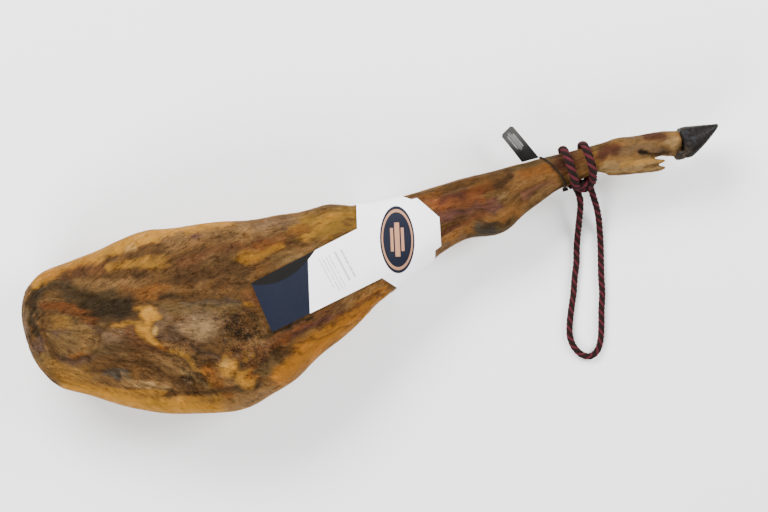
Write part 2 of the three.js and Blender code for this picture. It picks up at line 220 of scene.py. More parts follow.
def finish_piece(piece, look, node):
    """Every piece has its look, rides on the one body, and hides the solid that it stands for."""
    piece.data.materials.clear()
    piece.data.materials.append(look)
    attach(piece, BODY)
    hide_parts(node)


def make_camera():
    data = bpy.data.cameras.new("camera")
    data.lens = CAMERA_LENS
    data.sensor_width = SENSOR_WIDTH
    camera = placed("camera", data)
    camera.location = CAMERA_PLACE
    camera.rotation_euler = (0, 0, math.radians(CAMERA_TURN))
    bpy.context.scene.camera = camera


# Noise

def lattice(cells, seed):
    """A repeatable random number from -1 to 1 for each whole-numbered cell."""
    mask = 0x7FFFFFFF
    n = (cells[:, 0] * 73856093) ^ (cells[:, 1] * 19349663) ^ (cells[:, 2] * 83492791)
    n = (n ^ (seed * 40503)) & mask
    n = ((n ^ (n >> 13)) * 1274126177) & mask
    n = ((n ^ (n >> 15)) * 1103515245) & mask
    return (n ^ (n >> 16)) / (mask / 2) - 1


def value_noise(points, seed):
    base = np.floor(points).astype(np.int64)
    part = points - base
    part = part ** 3 * (part * (part * 6 - 15) + 10)
    total = np.zeros(len(points))
    for corner in range(8):
        step = np.array([corner & 1, corner >> 1 & 1, corner >> 2 & 1])
        weight = np.prod(np.where(step, part, 1 - part), axis=1)
        total += weight * lattice(base + step, seed)
    return total


def fractal(points, scale, octaves, seed):
    """Layered noise, about -1 to 1. scale is in cells for each millimetre, one number or three."""
    points = points * np.asarray(scale, float)
    total, size = np.zeros(len(points)), 0.0
    for octave in range(octaves):
        total += value_noise(points * 2.03 ** octave + 17.3 * octave, seed + octave) / 1.9 ** octave
        size += 1 / 1.9 ** octave
    return total / size * 1.6


# Node-built materials

class Look:
    """A material and the few node calls that the looks below are built from."""

    def __init__(self, name):
        self.material = bpy.data.materials.new(name)
        self.material.use_nodes = True
        self.tree = self.material.node_tree
        self.tree.nodes.clear()
        self.shader = self.tree.nodes.new("ShaderNodeBsdfPrincipled")
        output = self.tree.nodes.new("ShaderNodeOutputMaterial")
        self.tree.links.new(self.shader.outputs[0], output.inputs[0])

    def fill(self, socket, value):
        if isinstance(value, bpy.types.NodeSocket):
            self.tree.links.new(value, socket)
        elif np.ndim(value) == 1 and len(value) == 3 and len(socket.default_value) == 4:
            socket.default_value = (*value, 1)
        else:
            socket.default_value = value

    def add(self, kind, inputs=None, **settings):
        node = self.tree.nodes.new("ShaderNode" + kind)
        for name, value in settings.items():
            setattr(node, name, value)
        for key, value in (inputs or {}).items():
            self.fill(node.inputs[key], value)
        return node

    def set(self, **inputs):
        for name, value in inputs.items():
            self.fill(self.shader.inputs[name.replace("_", " ")], value)

    def attribute(self, name, output="Fac"):
        return self.add("Attribute", attribute_name=name).outputs[output]

    def place(self):
        return self.add("TexCoord").outputs["Object"]

    def stretched(self, vector, scale):
        return self.add("VectorMath", {0: vector, 1: scale}, operation="MULTIPLY").outputs[0]

    def noise(self, vector, scale, detail=4.0, roughness=0.55, distortion=0.0):
        """Noise from 0 to 1. scale is one number, or three to stretch it."""
        if isinstance(scale, tuple):
            vector, scale = self.stretched(vector, scale), 1.0
        inputs = {"Vector": vector, "Scale": scale, "Detail": detail}
        inputs.update({"Roughness": roughness, "Distortion": distortion})
        return self.add("TexNoise", inputs).outputs[0]

    def math(self, operation, a, b=0.0):
        return self.add("Math", {0: a, 1: b}, operation=operation).outputs[0]

    def times(self, a, b):
        return self.math("MULTIPLY", a, b)

    def plus(self, a, b):
        return self.math("ADD", a, b)

    def minus(self, a, b):
        return self.math("SUBTRACT", a, b)

    def ramp(self, value, low, high, start=0.0, end=1.0):
        """A smooth step from start at low to end at high."""
        inputs = {0: value, 1: low, 2: high, 3: start, 4: end}
        return self.add("MapRange", inputs, interpolation_type="SMOOTHSTEP").outputs[0]

    def near(self, value, at, half, soft):
        """1 within half of a value, and 0 from soft beyond that."""
        return self.ramp(self.math("ABSOLUTE", self.minus(value, at)), half, half + soft, 1.0, 0.0)

    def between(self, value, start, end, soft):
        """1 from start to end, with edges of the softness inside them."""
        low = self.ramp(value, start, start + soft)
        return self.times(low, self.ramp(value, end - soft, end, 1.0, 0.0))

    def mix(self, factor, a, b, blend="MIX"):
        node = self.add("Mix", data_type="RGBA", blend_type=blend, clamp_factor=True)
        self.fill(node.inputs[0], factor)
        self.fill(node.inputs[6], a)
        self.fill(node.inputs[7], b)
        return node.outputs[2]

    def tinted(self, colour, share):
        return self.mix(1.0, colour, share, "MULTIPLY")

    def bump(self, height, strength, distance):
        inputs = {"Height": height, "Strength": strength, "Distance": distance}
        return self.add("Bump", inputs).outputs[0]


# Rope

def closed_curve(route, step):
    """Even points along a closed centripetal Catmull-Rom curve through the route."""
    route = np.asarray(route, float)
    count, fine = len(route), []
    for i in range(count):
        p = [route[(i + k - 1) % count] for k in range(4)]
        t = np.cumsum([0] + [math.sqrt(np.linalg.norm(p[k + 1] - p[k])) for k in range(3)])
        x = np.linspace(t[1], t[2], 40, endpoint=False)[:, None]
        a = [(p[k] * (t[k + 1] - x) + p[k + 1] * (x - t[k])) / (t[k + 1] - t[k]) for k in range(3)]
        b = [(a[k] * (t[k + 2] - x) + a[k + 1] * (x - t[k])) / (t[k + 2] - t[k]) for k in range(2)]
        fine.append((b[0] * (t[2] - x) + b[1] * (x - t[1])) / (t[2] - t[1]))
    fine = np.vstack(fine + [fine[0][:1]])
    length = run_length(fine)
    even = np.linspace(0, length[-1], round(length[-1] / step), endpoint=False)
    return points_at(even, length, fine)


def carried_frames(points):
    """Tangent, side and up at each point of a closed curve, turned as little as possible."""
    along = unit(np.roll(points, -1, axis=0) - np.roll(points, 1, axis=0))
    side = np.zeros_like(points)
    side[0] = unit(np.cross(along[0], [0, 0, 1]))
    for i in range(1, len(points)):
        side[i] = unit(side[i - 1] - along[i] * (side[i - 1] @ along[i]))
    back = side[-1] - along[0] * (side[-1] @ along[0])
    gap = math.atan2(np.cross(side[0], back) @ along[0], side[0] @ back)
    return along, side, np.cross(along, side), gap


def strand_section():
    """One turn of the rope's section: angle, radius, place on the strand, and dark red or not."""
    dark, red = {"out": 1.7, "radius": 2.3}, {"out": 2.0, "radius": 1.95}

    def reach(strand, angle):
        under = strand["radius"] ** 2 - (strand["out"] * np.sin(angle)) ** 2
        return strand["out"] * np.cos(angle) + np.sqrt(np.maximum(under, 0))

    tries = np.linspace(0.4, 1.4, 400)
    crease = tries[np.argmin(np.abs(reach(dark, tries) - reach(red, math.pi / 2 - tries)))]
    rows = []
    for quarter in range(4):
        strand, half = (dark, crease) if quarter % 2 == 0 else (red, math.pi / 2 - crease)
        for k in range(STRAND_STEPS):
            across = (k + 0.5) / STRAND_STEPS * 2 - 1
            angle = across * half
            radius = float(reach(strand, np.array(angle)))
            rows.append((quarter * math.pi / 2 + angle, radius, across, quarter % 2))
    return np.array(rows)


def pressed_flat(point, along, offsets):
    """The rope is wider and thinner where it is tight round the shank, and fuller in the bight."""
    out = point - np.array([point[0], SHANK_MIDDLE[0], SHANK_MIDDLE[1]])
    distance = np.linalg.norm(out)
    out = unit(out - along * (out @ along))
    wide = np.cross(along, out)
    tight = 1 - ramp(distance, 30.0, 38.0)
    bight = tight * ramp(abs(along[0]), 0.4, 0.9)
    flat = offsets + np.outer(offsets @ wide, wide) * (tight - bight) * WRAP_WIDER
    flat = flat - np.outer(offsets @ out, out) * (tight - bight) * WRAP_THINNER
    return flat * (1 + BIGHT_WIDER * bight)


def rope_tube(name, points, carried, turns, chosen):
    """The stretch of rope over the chosen curve points, with closed ends."""
    section = strand_section()
    count = len(section)
    along, side, up = carried
    rings = []
    for i in chosen:
        angle = section[:, 0] + turns[i]
        spread = np.cos(angle)[:, None] * side[i] + np.sin(angle)[:, None] * up[i]
        rings.append(points[i] + pressed_flat(points[i], along[i], spread * section[:, 1:2]))
    total = len(rings)
    corners = np.vstack(rings + [points[chosen[0]][None], points[chosen[-1]][None]])
    piece = mesh_object(name, corners, capped_faces(total, count))
    strand = np.zeros((len(corners), 3))
    strand[:total * count, 0] = np.tile(section[:, 2], total)
    strand[:total * count, 1] = np.repeat(np.array(chosen) * ROPE_STEP, count)
    strand[:total * count, 2] = np.tile(section[:, 3], total)
    put(piece.data, "strand", strand)
    return piece


def rope_look():
    look = Look("twisted_rope")
    parts = look.add("SeparateXYZ", {0: look.attribute("strand", "Vector")})
    across, along, red = parts.outputs[0], parts.outputs[1], parts.outputs[2]
    lay = look.plus(look.times(across, 1.1), look.times(along, 0.55))
    yarn = look.math("SINE", look.times(lay, 6.5))
    fibre = look.noise(look.place(), 1900.0, detail=3.0)
    fuzz = look.noise(look.place(), 420.0, detail=3.0)
    dark = look.mix(fibre, (0.0055, 0.0035, 0.0030), (0.021, 0.0115, 0.0090))
    crimson = look.mix(fibre, (0.042, 0.0070, 0.0105), (0.118, 0.021, 0.029))
    colour = look.mix(look.ramp(red, 0.45, 0.55), dark, crimson)
    # Painted shade: darker towards each strand's edges, in the creases between strands, and in the low
    # grooves between the yarns
    edge = look.math("ABSOLUTE", across)
    colour = look.mix(look.ramp(edge, 0.6, 1.0, 0.0, 0.6), colour, (0.002, 0.0015, 0.0012))
    colour = look.mix(look.ramp(yarn, -1.0, 1.0, 0.35, 0.0), colour, (0.003, 0.0018, 0.0018))
    height = look.plus(look.times(yarn, 0.5), look.times(fuzz, 1.2))
    look.set(Base_Color=colour, Roughness=0.85, Specular_IOR_Level=0.08)
    look.set(Normal=look.bump(look.plus(height, fibre), 0.7, 0.0005))
    return look.material


def twisted(route):
    """A closed route's points, the frames carried along it, and how far the strands have turned."""
    points = closed_curve(route, ROPE_STEP)
    *carried, gap = carried_frames(points)
    count = len(points)
    whole_turns = round(count * ROPE_STEP / ROPE_PITCH)
    return points, carried, (gap - 2 * math.pi * whole_turns) * np.arange(count) / count


def make_ropes():
    points, carried, turns = twisted(HITCH_ROUTE + LOOP_ROUTE[::-1])
    count = len(points)
    middle = [(np.array(HITCH_ROUTE[e]) + np.array(LOOP_ROUTE[e])) / 2 for e in (0, -1)]
    first, last = (int(np.argmin(np.linalg.norm(points - m, axis=1))) for m in middle)
    if first > last:
        first -= count
    look = rope_look()
    hitch = [i % count for i in range(first, last + 1)]
    loop = [i % count for i in range(last, first + count + 1)]
    tied = rope_tube("hitch_rope", points, carried, turns, hitch)
    free = rope_tube("loop_rope", points, carried, turns, loop)
    points, carried, turns = twisted(BAND_ROUTE)
    band = rope_tube("band_rope", points, carried, turns, [*range(len(points)), 0])
    for piece, node in ((tied, "rope_hitch"), (band, "rope_hitch"), (free, "rope_loop")):
        finish_piece(piece, look, node)


# The ham's skin as rings, taken from the solid and smoothed

AXIS = np.array([
    (60, -30, 60), (160, -50, 62), (250, -57, 62), (370, -37, 52), (460, -23, 48), (540, -17, 48),
    (650, -1, 47), (776, -4, 47),
], float)
RING_POINTS = 210
RAYS = 280
BUTT_RINGS = 50
BODY_RINGS = 246
SHANK_RINGS = 142
FIRST_LEAN = math.radians(2.0)
BUTT_END = 60
BODY_END = 486
LEG_CUT = 668.0
FOOT_CUT = 665.6
SMOOTH_PASSES = 16
RELIEF = 1.35
SINK = 0.35
LOWEST = 0.05
GRAIN_RADIUS = 62.0


def axis_point(u):
    """The point inside the leg from which its skin is looked up."""
    return np.array([u, *(np.interp(u, AXIS[:, 0], AXIS[:, k]) for k in (1, 2))])


def ring_starts():
    """Origin and first direction of each ring: a fan over the butt, then even steps along the leg."""
    rows = []
    for i in range(BUTT_RINGS):
        lean = FIRST_LEAN + (math.pi / 2 - FIRST_LEAN) * i / BUTT_RINGS
        rows.append((AXIS[0], -math.cos(lean), math.sin(lean)))
    body = np.linspace(BUTT_END, BODY_END, BODY_RINGS, endpoint=False)
    shank = np.linspace(BODY_END, LEG_CUT, SHANK_RINGS)
    for u in np.concatenate([body, shank]):
        rows.append((axis_point(u), 0.0, 1.0))
    return rows


def skin_tree():
    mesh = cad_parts["ham"].data
    return BVHTree.FromPolygons([v.co for v in mesh.vertices], [p.vertices for p in mesh.polygons])


def leg_rings():
    """Rings of points on the ham's skin. A ring starts and ends under the leg, and its points are
    half as dense there."""
    tree = skin_tree()
    turn = -math.pi / 2 + 2 * math.pi * np.arange(RAYS) / RAYS
    share = np.where(np.sin(turn) > -0.35, 1.0, 0.5)
    rings = []
    for origin, forward, outward in ring_starts():
        start = Vector(to_frame(origin))
        hits = []
        for a in turn:
            way = Vector((forward, outward * math.cos(a), outward * math.sin(a)))
            hits.append(tree.ray_cast(start, way)[0])
        ring = to_leg(np.array(hits))
        step = np.linalg.norm(np.roll(ring, -1, axis=0) - ring, axis=1) * share
        length = np.concatenate([[0], np.cumsum(step)])
        ring = np.vstack([ring, ring[:1]])
        even = np.linspace(0, length[-1], RING_POINTS, endpoint=False)
        rings.append(points_at(even, length, ring))
    return np.array(rings)


def smoothed(rings, passes):
    """Rounds off the solid's facets, along the leg and round it."""
    last = rings[-1:]
    for _ in range(passes):
        rings = evened(rings, 1)
        inner = (rings[:-2] + 2 * rings[1:-1] + rings[2:]) / 4
        rings = np.concatenate([rings[:1], inner, last])
    return rings


def grain_of(rings):
    """Coordinates that follow the muscle: distance along the leg, and a circle for the way round."""
    along = run_length(rings.mean(axis=1))
    round_leg = 2 * math.pi * np.arange(RING_POINTS) / RING_POINTS
    girth = np.linalg.norm(np.roll(rings, -1, axis=1) - rings, axis=2).sum(axis=1)
    radius = np.clip(girth / (2 * math.pi), 24, GRAIN_RADIUS)[:, None]
    grid = np.zeros(rings.shape)
    grid[..., 0] = along[:, None]
    grid[..., 1] = radius * np.cos(round_leg)
    grid[..., 2] = radius * np.sin(round_leg)
    return grid.reshape(-1, 3)


# Forms and colours of the shown face. Each mark has a tone, how strongly it covers, a size and a
# place, and a height where it stands proud or sinks in. A tone is the share of red, green and blue
# light that it throws back.

TONES = {
    "brown": (0.056, 0.028, 0.010), "dark brown": (0.030, 0.0155, 0.007), "char": (0.014, 0.010, 0.006),
    "red brown": (0.056, 0.023, 0.010), "orange": (0.105, 0.036, 0.007),
    "orange red": (0.072, 0.023, 0.007), "gold": (0.245, 0.112, 0.017),
    "deep gold": (0.150, 0.066, 0.008), "ochre": (0.158, 0.076, 0.013), "cream": (0.42, 0.24, 0.07),
    "olive": (0.063, 0.040, 0.016), "dark olive": (0.024, 0.0165, 0.009), "tan": (0.125, 0.066, 0.024),
    "pale": (0.220, 0.135, 0.055), "grey brown": (0.088, 0.054, 0.030), "violet": (0.054, 0.031, 0.021),
    "blue grey": (0.033, 0.028, 0.021), "rind": (0.240, 0.108, 0.013),
    "rind orange": (0.195, 0.076, 0.010), "purple": (0.052, 0.021, 0.018),
    "wine": (0.036, 0.0125, 0.009), "pink": (0.111, 0.046, 0.028),
    "black": (0.006, 0.005, 0.004), "honey": (0.154, 0.076, 0.023), "olive gold": (0.118, 0.062, 0.011),
    "bronze": (0.100, 0.034, 0.013), "amber": (0.122, 0.055, 0.017),
    "rind side": (0.205, 0.108, 0.030),
}

# name: colour, cover, half width, height, line of (u, v)
STROKES = {
    "top edge": ("rind", 0.85, 10, 0, [(28, 36), (60, 43), (100, 47), (150, 54), (200, 51), (250, 44)]),
    "top edge, orange": ("orange", 0.45, 6, 0, [(36, 39), (64, 39), (92, 41)]),
    "butt border": ("rind", 0.95, 14, 0.8, [(30, -92), (60, -108), (110, -132), (160, -150), (200, -162)]),
    "rear border": ("tan", 0.85, 12, 0, [(205, -158), (240, -156), (272, -146)]),
    "rear border, orange": (
        "rind orange", 0.95, 16, 0.8, [(272, -141), (310, -119), (345, -107), (400, -86)],
    ),
    "shin streaks": ("tan", 0.5, 12, 0, [(190, 34), (230, 32), (270, 28), (300, 22)]),
    "shin hollow": ("dark brown", 0.65, 5, -1.2, [(146, 12), (180, 9), (222, 16)]),
    "shin streak": ("ochre", 0.7, 6.5, 0.8, [(118, 27), (145, 25), (178, 17)]),
    "shin streak, lower": ("tan", 0.7, 7, 0, [(76, 17), (104, 10), (136, 4)]),
    "flank": ("dark brown", 0.85, 11, -1.2, [(190, -4), (225, -8), (262, -14)]),
    "flank, red": ("red brown", 0.6, 7, 0, [(196, 10), (240, 12), (300, 8)]),
    "orange flank": ("orange", 0.45, 9, 0, [(128, -4), (150, -8), (172, -14)]),
    "golden flank": ("deep gold", 0.7, 8, 0.6, [(266, -4), (284, -2), (300, 0)]),
    "stifle": ("olive gold", 0.9, 17, 0.5, [(334, 14), (362, 10), (398, 8)]),
    "stifle, bright": ("gold", 0.35, 6, 0, [(336, 1), (350, 12), (372, 18)]),
    "stifle, orange": ("orange red", 0.55, 7, 0, [(284, 8), (312, 8), (334, 10)]),
    "stifle, grey": ("grey brown", 0.6, 6, 0, [(282, 25), (306, 25), (330, 22)]),
    "trough sides": ("dark olive", 0.7, 19, 0, [(70, 6), (96, -8), (126, -18)]),
    # Painted shade: near-black down the sunk trough
    "meat trough": ("char", 0.95, 12, -3.0, [(80, -6), (104, -18), (126, -20)]),
    "trough arm": ("dark olive", 0.85, 7, -2.0, [(62, 14), (76, 4), (84, -4)]),
    "red seam": ("orange red", 0.75, 5, 0.8, [(36, 8), (52, 2), (64, -8), (88, -26)]),
    "butt smudge": ("dark brown", 0.7, 7, -0.8, [(68, 32), (82, 31)]),
    "butt brown": ("red brown", 0.6, 7, 0, [(58, 28), (76, 34), (108, 30)]),
    "butt olive": ("dark olive", 0.8, 8, 0, [(28, 22), (46, 28), (62, 20)]),
    "butt rim": ("char", 0.85, 6, -1.6, [(32, 30), (19, 14), (13, -8), (13, -24)]),
    "butt rim, lower": ("violet", 0.7, 6, -0.8, [(12, -30), (15, -44)]),
    "butt edge": ("grey brown", 0.75, 5, 0, [(8, 16), (0, -10), (-2, -34), (4, -62)]),
    "under the disc": ("ochre", 0.5, 11, 0, [(16, -54), (32, -72), (56, -80)]),
    "under the disc, olive": ("olive", 0.6, 8, 0, [(12, -50), (24, -52)]),
    "disc foot": ("violet", 0.7, 6, -0.8, [(38, -54), (50, -64), (70, -62)]),
    "beige muscle": ("grey brown", 0.8, 8, 0.8, [(92, -46), (108, -48), (120, -54)]),
    "wedge muscle": ("red brown", 0.7, 9, -1.0, [(116, -50), (128, -60), (142, -72)]),
    "lower muscle": ("brown", 0.8, 10, 0, [(84, -76), (108, -82), (132, -88)]),
    "lower muscle, dark": ("dark brown", 0.6, 5, -1.0, [(96, -78), (118, -86), (140, -96)]),
    "vein": ("blue grey", 0.9, 4.5, -0.6, [(82, -85), (96, -90), (107, -94)]),
    "green fat": ("olive", 0.7, 4, 0, [(106, -97), (114, -98)]),
    "seam": ("brown", 0.85, 4, -1.2, [(112, -90), (138, -102), (166, -113)]),
    "crumbly meat": ("tan", 0.6, 8, 0, [(136, -84), (156, -96), (176, -106)]),
    "pale streaks": ("tan", 0.7, 5, 0.6, [(98, -98), (120, -106), (150, -117)]),
    "pale streak, upper": ("pale", 0.55, 2.2, 0.5, [(101, -92), (125, -106), (146, -119)]),
    "pale streak, lower": ("pale", 0.5, 2.0, 0.5, [(112, -104), (134, -117), (156, -130)]),
    "pale streak, pit": ("pale", 0.5, 2.0, 0.5, [(164, -103), (179, -119), (191, -134)]),
    "pale streaks, lower": ("rind", 0.5, 4, 0, [(84, -104), (108, -112), (136, -123)]),
    "dark seam": ("dark brown", 0.85, 3.5, -1.8, [(138, -125), (158, -131), (178, -135), (196, -143)]),
    # Painted shade: near-black in the sunk pit
    "ragged pit": ("char", 0.5, 6, -1.0, [(168, -114), (180, -119), (190, -129)]),
    "gristle ridge": ("ochre", 0.8, 4, 1.2, [(106, -37), (122, -40), (137, -46)]),
    "gristle edge": ("ochre", 0.6, 5, 0.6, [(134, -48), (141, -60), (152, -70)]),
    "tendon": ("ochre", 0.7, 3.4, 1.3, [(158, -80), (172, -92), (182, -106), (193, -124), (196, -142)]),
    "tendon, orange": ("orange", 0.7, 8, 0.6, [(190, -112), (200, -126), (204, -142)]),
    "muscle seam": ("violet", 0.6, 5, -1.2, [(160, -60), (178, -76), (192, -92), (212, -112)]),
    "muscle seam, black": ("char", 0.55, 3.2, -0.8, [(178, -74), (186, -88), (204, -100)]),
    "grey flank": ("blue grey", 0.7, 5, -0.6, [(190, -36), (215, -38), (240, -46)]),
    "dark patch": ("char", 0.75, 5, -1.4, [(172, -19), (190, -24)]),
    "olive flank": ("olive", 0.7, 9, 0, [(170, -38), (196, -44), (232, -52)]),
    "flank shade": ("dark brown", 0.7, 6, -0.8, [(228, -24), (246, -27), (264, -30)]),
    "rear seam": ("dark olive", 0.75, 6, -1.4, [(196, -138), (212, -140), (240, -142)]),
    "rear ridges": ("red brown", 0.75, 9, 0.8, [(246, -112), (276, -100), (306, -92), (348, -86)]),
    "rear ridges, orange": ("orange red", 0.7, 4.5, 0.8, [(268, -106), (290, -98), (316, -92)]),
    "rear ridge, purple": ("purple", 0.6, 4, -1.0, [(296, -99), (322, -93), (344, -90)]),
    # Painted shade: near-black along the sunk groove
    "rear groove": ("char", 0.75, 3, -1.6, [(262, -92), (290, -88), (318, -84)]),
    "rear streaks": ("tan", 0.6, 3, 0.5, [(340, -88), (368, -82), (402, -72)]),
    "rear streaks, dark": ("red brown", 0.75, 3, -0.8, [(344, -94), (372, -88), (400, -80)]),
    "shank gold": ("bronze", 0.85, 9, 0.5, [(474, 4), (494, -3), (534, -8)]),
    "shank top": ("brown", 0.8, 5, 0, [(470, 14), (520, 14), (566, 14)]),
    "shank top, orange": ("orange", 0.5, 3, 0, [(470, 11), (494, 11)]),
    "shank wine": ("wine", 0.75, 5.5, -0.6, [(492, 4), (512, 2), (540, 2)]),
    "shank red": ("orange red", 0.6, 8, 0, [(530, 4), (548, 2), (560, 0)]),
    "shank streak": ("violet", 0.3, 3, 0, [(494, 8), (512, 9), (530, 10)]),
    "shank purple": ("purple", 0.8, 8, -0.6, [(484, -16), (512, -20), (552, -20)]),
    "shank purple, lower": ("wine", 0.7, 6, -0.8, [(484, -35), (506, -33), (532, -26)]),
    "shank brown": ("brown", 0.7, 5, 0, [(484, -27), (510, -26), (530, -24)]),
    "shank pink": ("pink", 0.35, 3.2, 0.4, [(518, -23), (536, -19), (552, -17)]),
    "shank bright": ("bronze", 0.5, 3.6, 0.4, [(508, -32), (522, -30), (540, -29)]),
    "shank rear": ("amber", 0.8, 7, 0, [(474, -50), (500, -43), (522, -38)]),
    "shank rear edge": ("grey brown", 0.7, 5, 0, [(464, -60), (480, -53), (505, -48)]),
    "hock": ("amber", 0.9, 11, 0, [(546, -38), (562, -34), (578, -30)]),
    "hock, dark": ("blue grey", 0.9, 7, -0.5, [(524, -42), (534, -44), (543, -48)]),
    "hock edge": ("olive", 0.7, 5, 0, [(546, -48), (560, -47), (572, -44)]),
    "hock, grey": ("dark brown", 0.6, 3, -0.4, [(528, -40), (548, -44), (562, -44)]),
    "ankle": ("amber", 0.85, 14, 0, [(576, 2), (596, 0), (622, -4)]),
    "ankle, orange": ("orange", 0.6, 7, 0, [(596, 6), (608, 7), (620, 4)]),
    "ankle, pink": ("pink", 0.6, 4.5, 0, [(580, -18), (602, -17), (622, -14)]),
    "ankle, pale": ("tan", 0.4, 4, 0.3, [(576, -4), (588, -4)]),
    "ankle rear": ("tan", 0.7, 6, 0, [(582, -30), (604, -24), (626, -17)]),
    "ankle spot": ("dark brown", 0.95, 7, -1.0, [(561, 1), (568, 3), (576, 8)]),
    "ankle top": ("olive", 0.7, 5, 0, [(580, 16), (604, 16), (622, 15)]),
    "behind the strap": ("wine", 0.75, 13, 0, [(636, 5), (648, 4), (662, 4)]),
    "between the ropes": ("tan", 0.75, 5, 0, [(648, -12), (662, -10)]),
    "between the ropes, red": ("wine", 0.7, 3, 0, [(644, 4), (664, 5)]),
    "foot base": ("tan", 0.7, 26, 0, [(676, 0), (720, -6), (775, -6)]),
    "pastern gold": ("honey", 0.85, 8, 0, [(672, -2), (690, -8), (716, -15)]),
    "pastern top": ("olive", 0.7, 6, 0, [(672, 14), (690, 15), (712, 16)]),
    "pastern brown": ("brown", 0.6, 5, 0, [(684, 12), (698, 11), (708, 6)]),
    "fetlock": ("tan", 0.6, 7, 0.5, [(702, 13), (716, 10), (730, 7)]),
    "pastern dark": ("wine", 0.85, 8, -0.6, [(683, 2), (690, 6), (699, 4)]),
    "foot grey": ("grey brown", 0.55, 6, 0.4, [(708, 0), (722, 0), (738, -3)]),
    "foot top edge": ("grey brown", 0.6, 3, 0, [(720, 13), (742, 11), (760, 9)]),
    "foot violet": ("grey brown", 0.75, 5, -0.4, [(742, -9), (750, -12)]),
    "foot cavity": ("dark brown", 0.75, 2.4, -1.0, [(742, -17), (749, -15), (757, -18)]),
    # Painted shade: black and near-black in the foot's sunk hole
    "foot hole": ("black", 0.95, 3.8, -1.8, [(727, -6.5), (733, -9)]),
    "foot hole, lower": ("char", 0.8, 2.4, -1.2, [(734, -12), (740, -15), (746, -17)]),
    "foot end": ("pale", 0.6, 7, 0.4, [(760, -2), (768, -6), (766, -14)]),
    "foot end, orange": ("honey", 0.5, 4, 0, [(764, 6), (772, 4)]),
    "foot wine": ("wine", 0.78, 5.5, -0.2, [(739, 10), (748, 8), (757, 3)]),
    "dewclaws": ("pale", 0.85, 9, 0, [(684, -15), (712, -20), (748, -26)]),
    "dewclaws, gold": ("gold", 0.5, 3.5, 0, [(704, -14), (730, -18), (750, -23)]),
    "dewclaws, under": ("tan", 0.8, 3, 0, [(688, -22), (706, -27), (724, -30)]),
    "dewclaws, dark": ("brown", 0.4, 1.8, -0.4, [(704, -25), (716, -27), (726, -27)]),
    "dewclaw crease": ("red brown", 0.5, 1.5, -0.8, [(728, -24), (738, -25.5), (748, -26.5)]),
}

# name: colour, cover, centre (u, v), half lengths, turn in degrees, height
SPOTS = {
    "hip disc": ("olive", 0.55, (58, -33), (28, 26), 0, 0),
    "disc light": ("ochre", 0.4, (50, -16), (16, 8), -25, 0),
    "disc orange": ("orange", 0.55, (60, -58), (11, 6), 0, 0.6),
    "disc spot": ("violet", 0.8, (47, -27), (6, 5), 0, -1.0),
    "disc edge": ("violet", 0.55, (84, -34), (7, 11), 10, -0.6),
    "shin cream": ("cream", 0.35, (148, 43), (9, 5), -10, 0),
    "shin pale": ("gold", 0.4, (176, 50), (40, 8), 4, 0),
    "gold knob": ("gold", 0.95, (146, -34), (12, 12), 0, 1.2),
    "gold knob, neck": ("gold", 0.85, (141, -48), (8, 9), -25, 0.6),
    "gold knob, foot": ("gold", 0.85, (148, -61), (5.5, 12), 30, 0.6),
    "knob light": ("cream", 0.15, (150, -30), (8, 5), 0, 0.3),
    "grey gristle": ("grey brown", 0.6, (161, -46), (8, 13), 15, 0),
    "white gristle": ("cream", 0.45, (154, -52), (5, 5), 0, 0.4),
    "orange tip": ("orange", 0.95, (153, -73), (6, 4.5), -30, 1.0),
    "pale muscle": ("grey brown", 0.85, (196, -62), (30, 19), -15, 0.8),
    "pale centre": ("pale", 0.36, (199, -66), (22, 12), -15, 0.4),
    "ragged meat": ("dark brown", 0.8, (240, -76), (27, 22), 0, -1.2),
    # Painted shade: black and near-black in the sunk holes of the ragged meat
    "ragged hole": ("black", 0.75, (236, -65), (8, 6), 0, -2.2),
    "ragged hole, lower": ("black", 0.8, (241, -90), (7, 7), 0, -2.4),
    "ragged hole, right": ("char", 0.75, (260, -69), (7, 9), 0, -1.8),
    "ragged red": ("red brown", 0.75, (260, -48), (12, 12), 0, 0),
    "ragged gold": ("deep gold", 0.8, (255, -53), (7, 3.5), -25, 0.8),
    "near gristle": ("gold", 0.8, (217, -112), (14, 12), 0, 1.4),
    "near gristle, light": ("cream", 0.45, (214, -109), (8, 5), 20, 0.4),
    "far gristle": ("gold", 0.85, (230, -133), (12, 12), 0, 1.4),
    "far gristle, orange": ("orange", 0.5, (240, -128), (6, 10), 0, 0),
    "side gristle": ("ochre", 0.6, (241, -109), (8, 5), 0, 0.8),
    "rear dark": ("char", 0.7, (272, -114), (10, 7), 20, -1.2),
    "rear olive": ("olive", 0.6, (258, -126), (16, 9), 20, 0),
    "red rear": ("red brown", 0.6, (232, -100), (18, 8), 10, 0),
    "salt specks": ("pale", 0.3, (560, -14), (11, 4), 14, 0),
    "purple spot": ("purple", 0.7, (218, 37), (8, 4), 0, -0.4),
    "bright stifle": ("ochre", 0.7, (341, 2), (7, 5), 0, 0),
    "stifle spot": ("brown", 0.7, (384, 4), (5, 5), 0, -0.5),
    # Painted shade: near-black in the sunk notch
    "stifle notch": ("char", 0.8, (375, 30), (11, 3), -18, -1.2),
    "violet spot": ("violet", 0.8, (12, -38), (8, 6), 0, 0),
    "dewclaw tip": ("orange", 0.5, (748, -24), (5, 4), 0, 0),
}
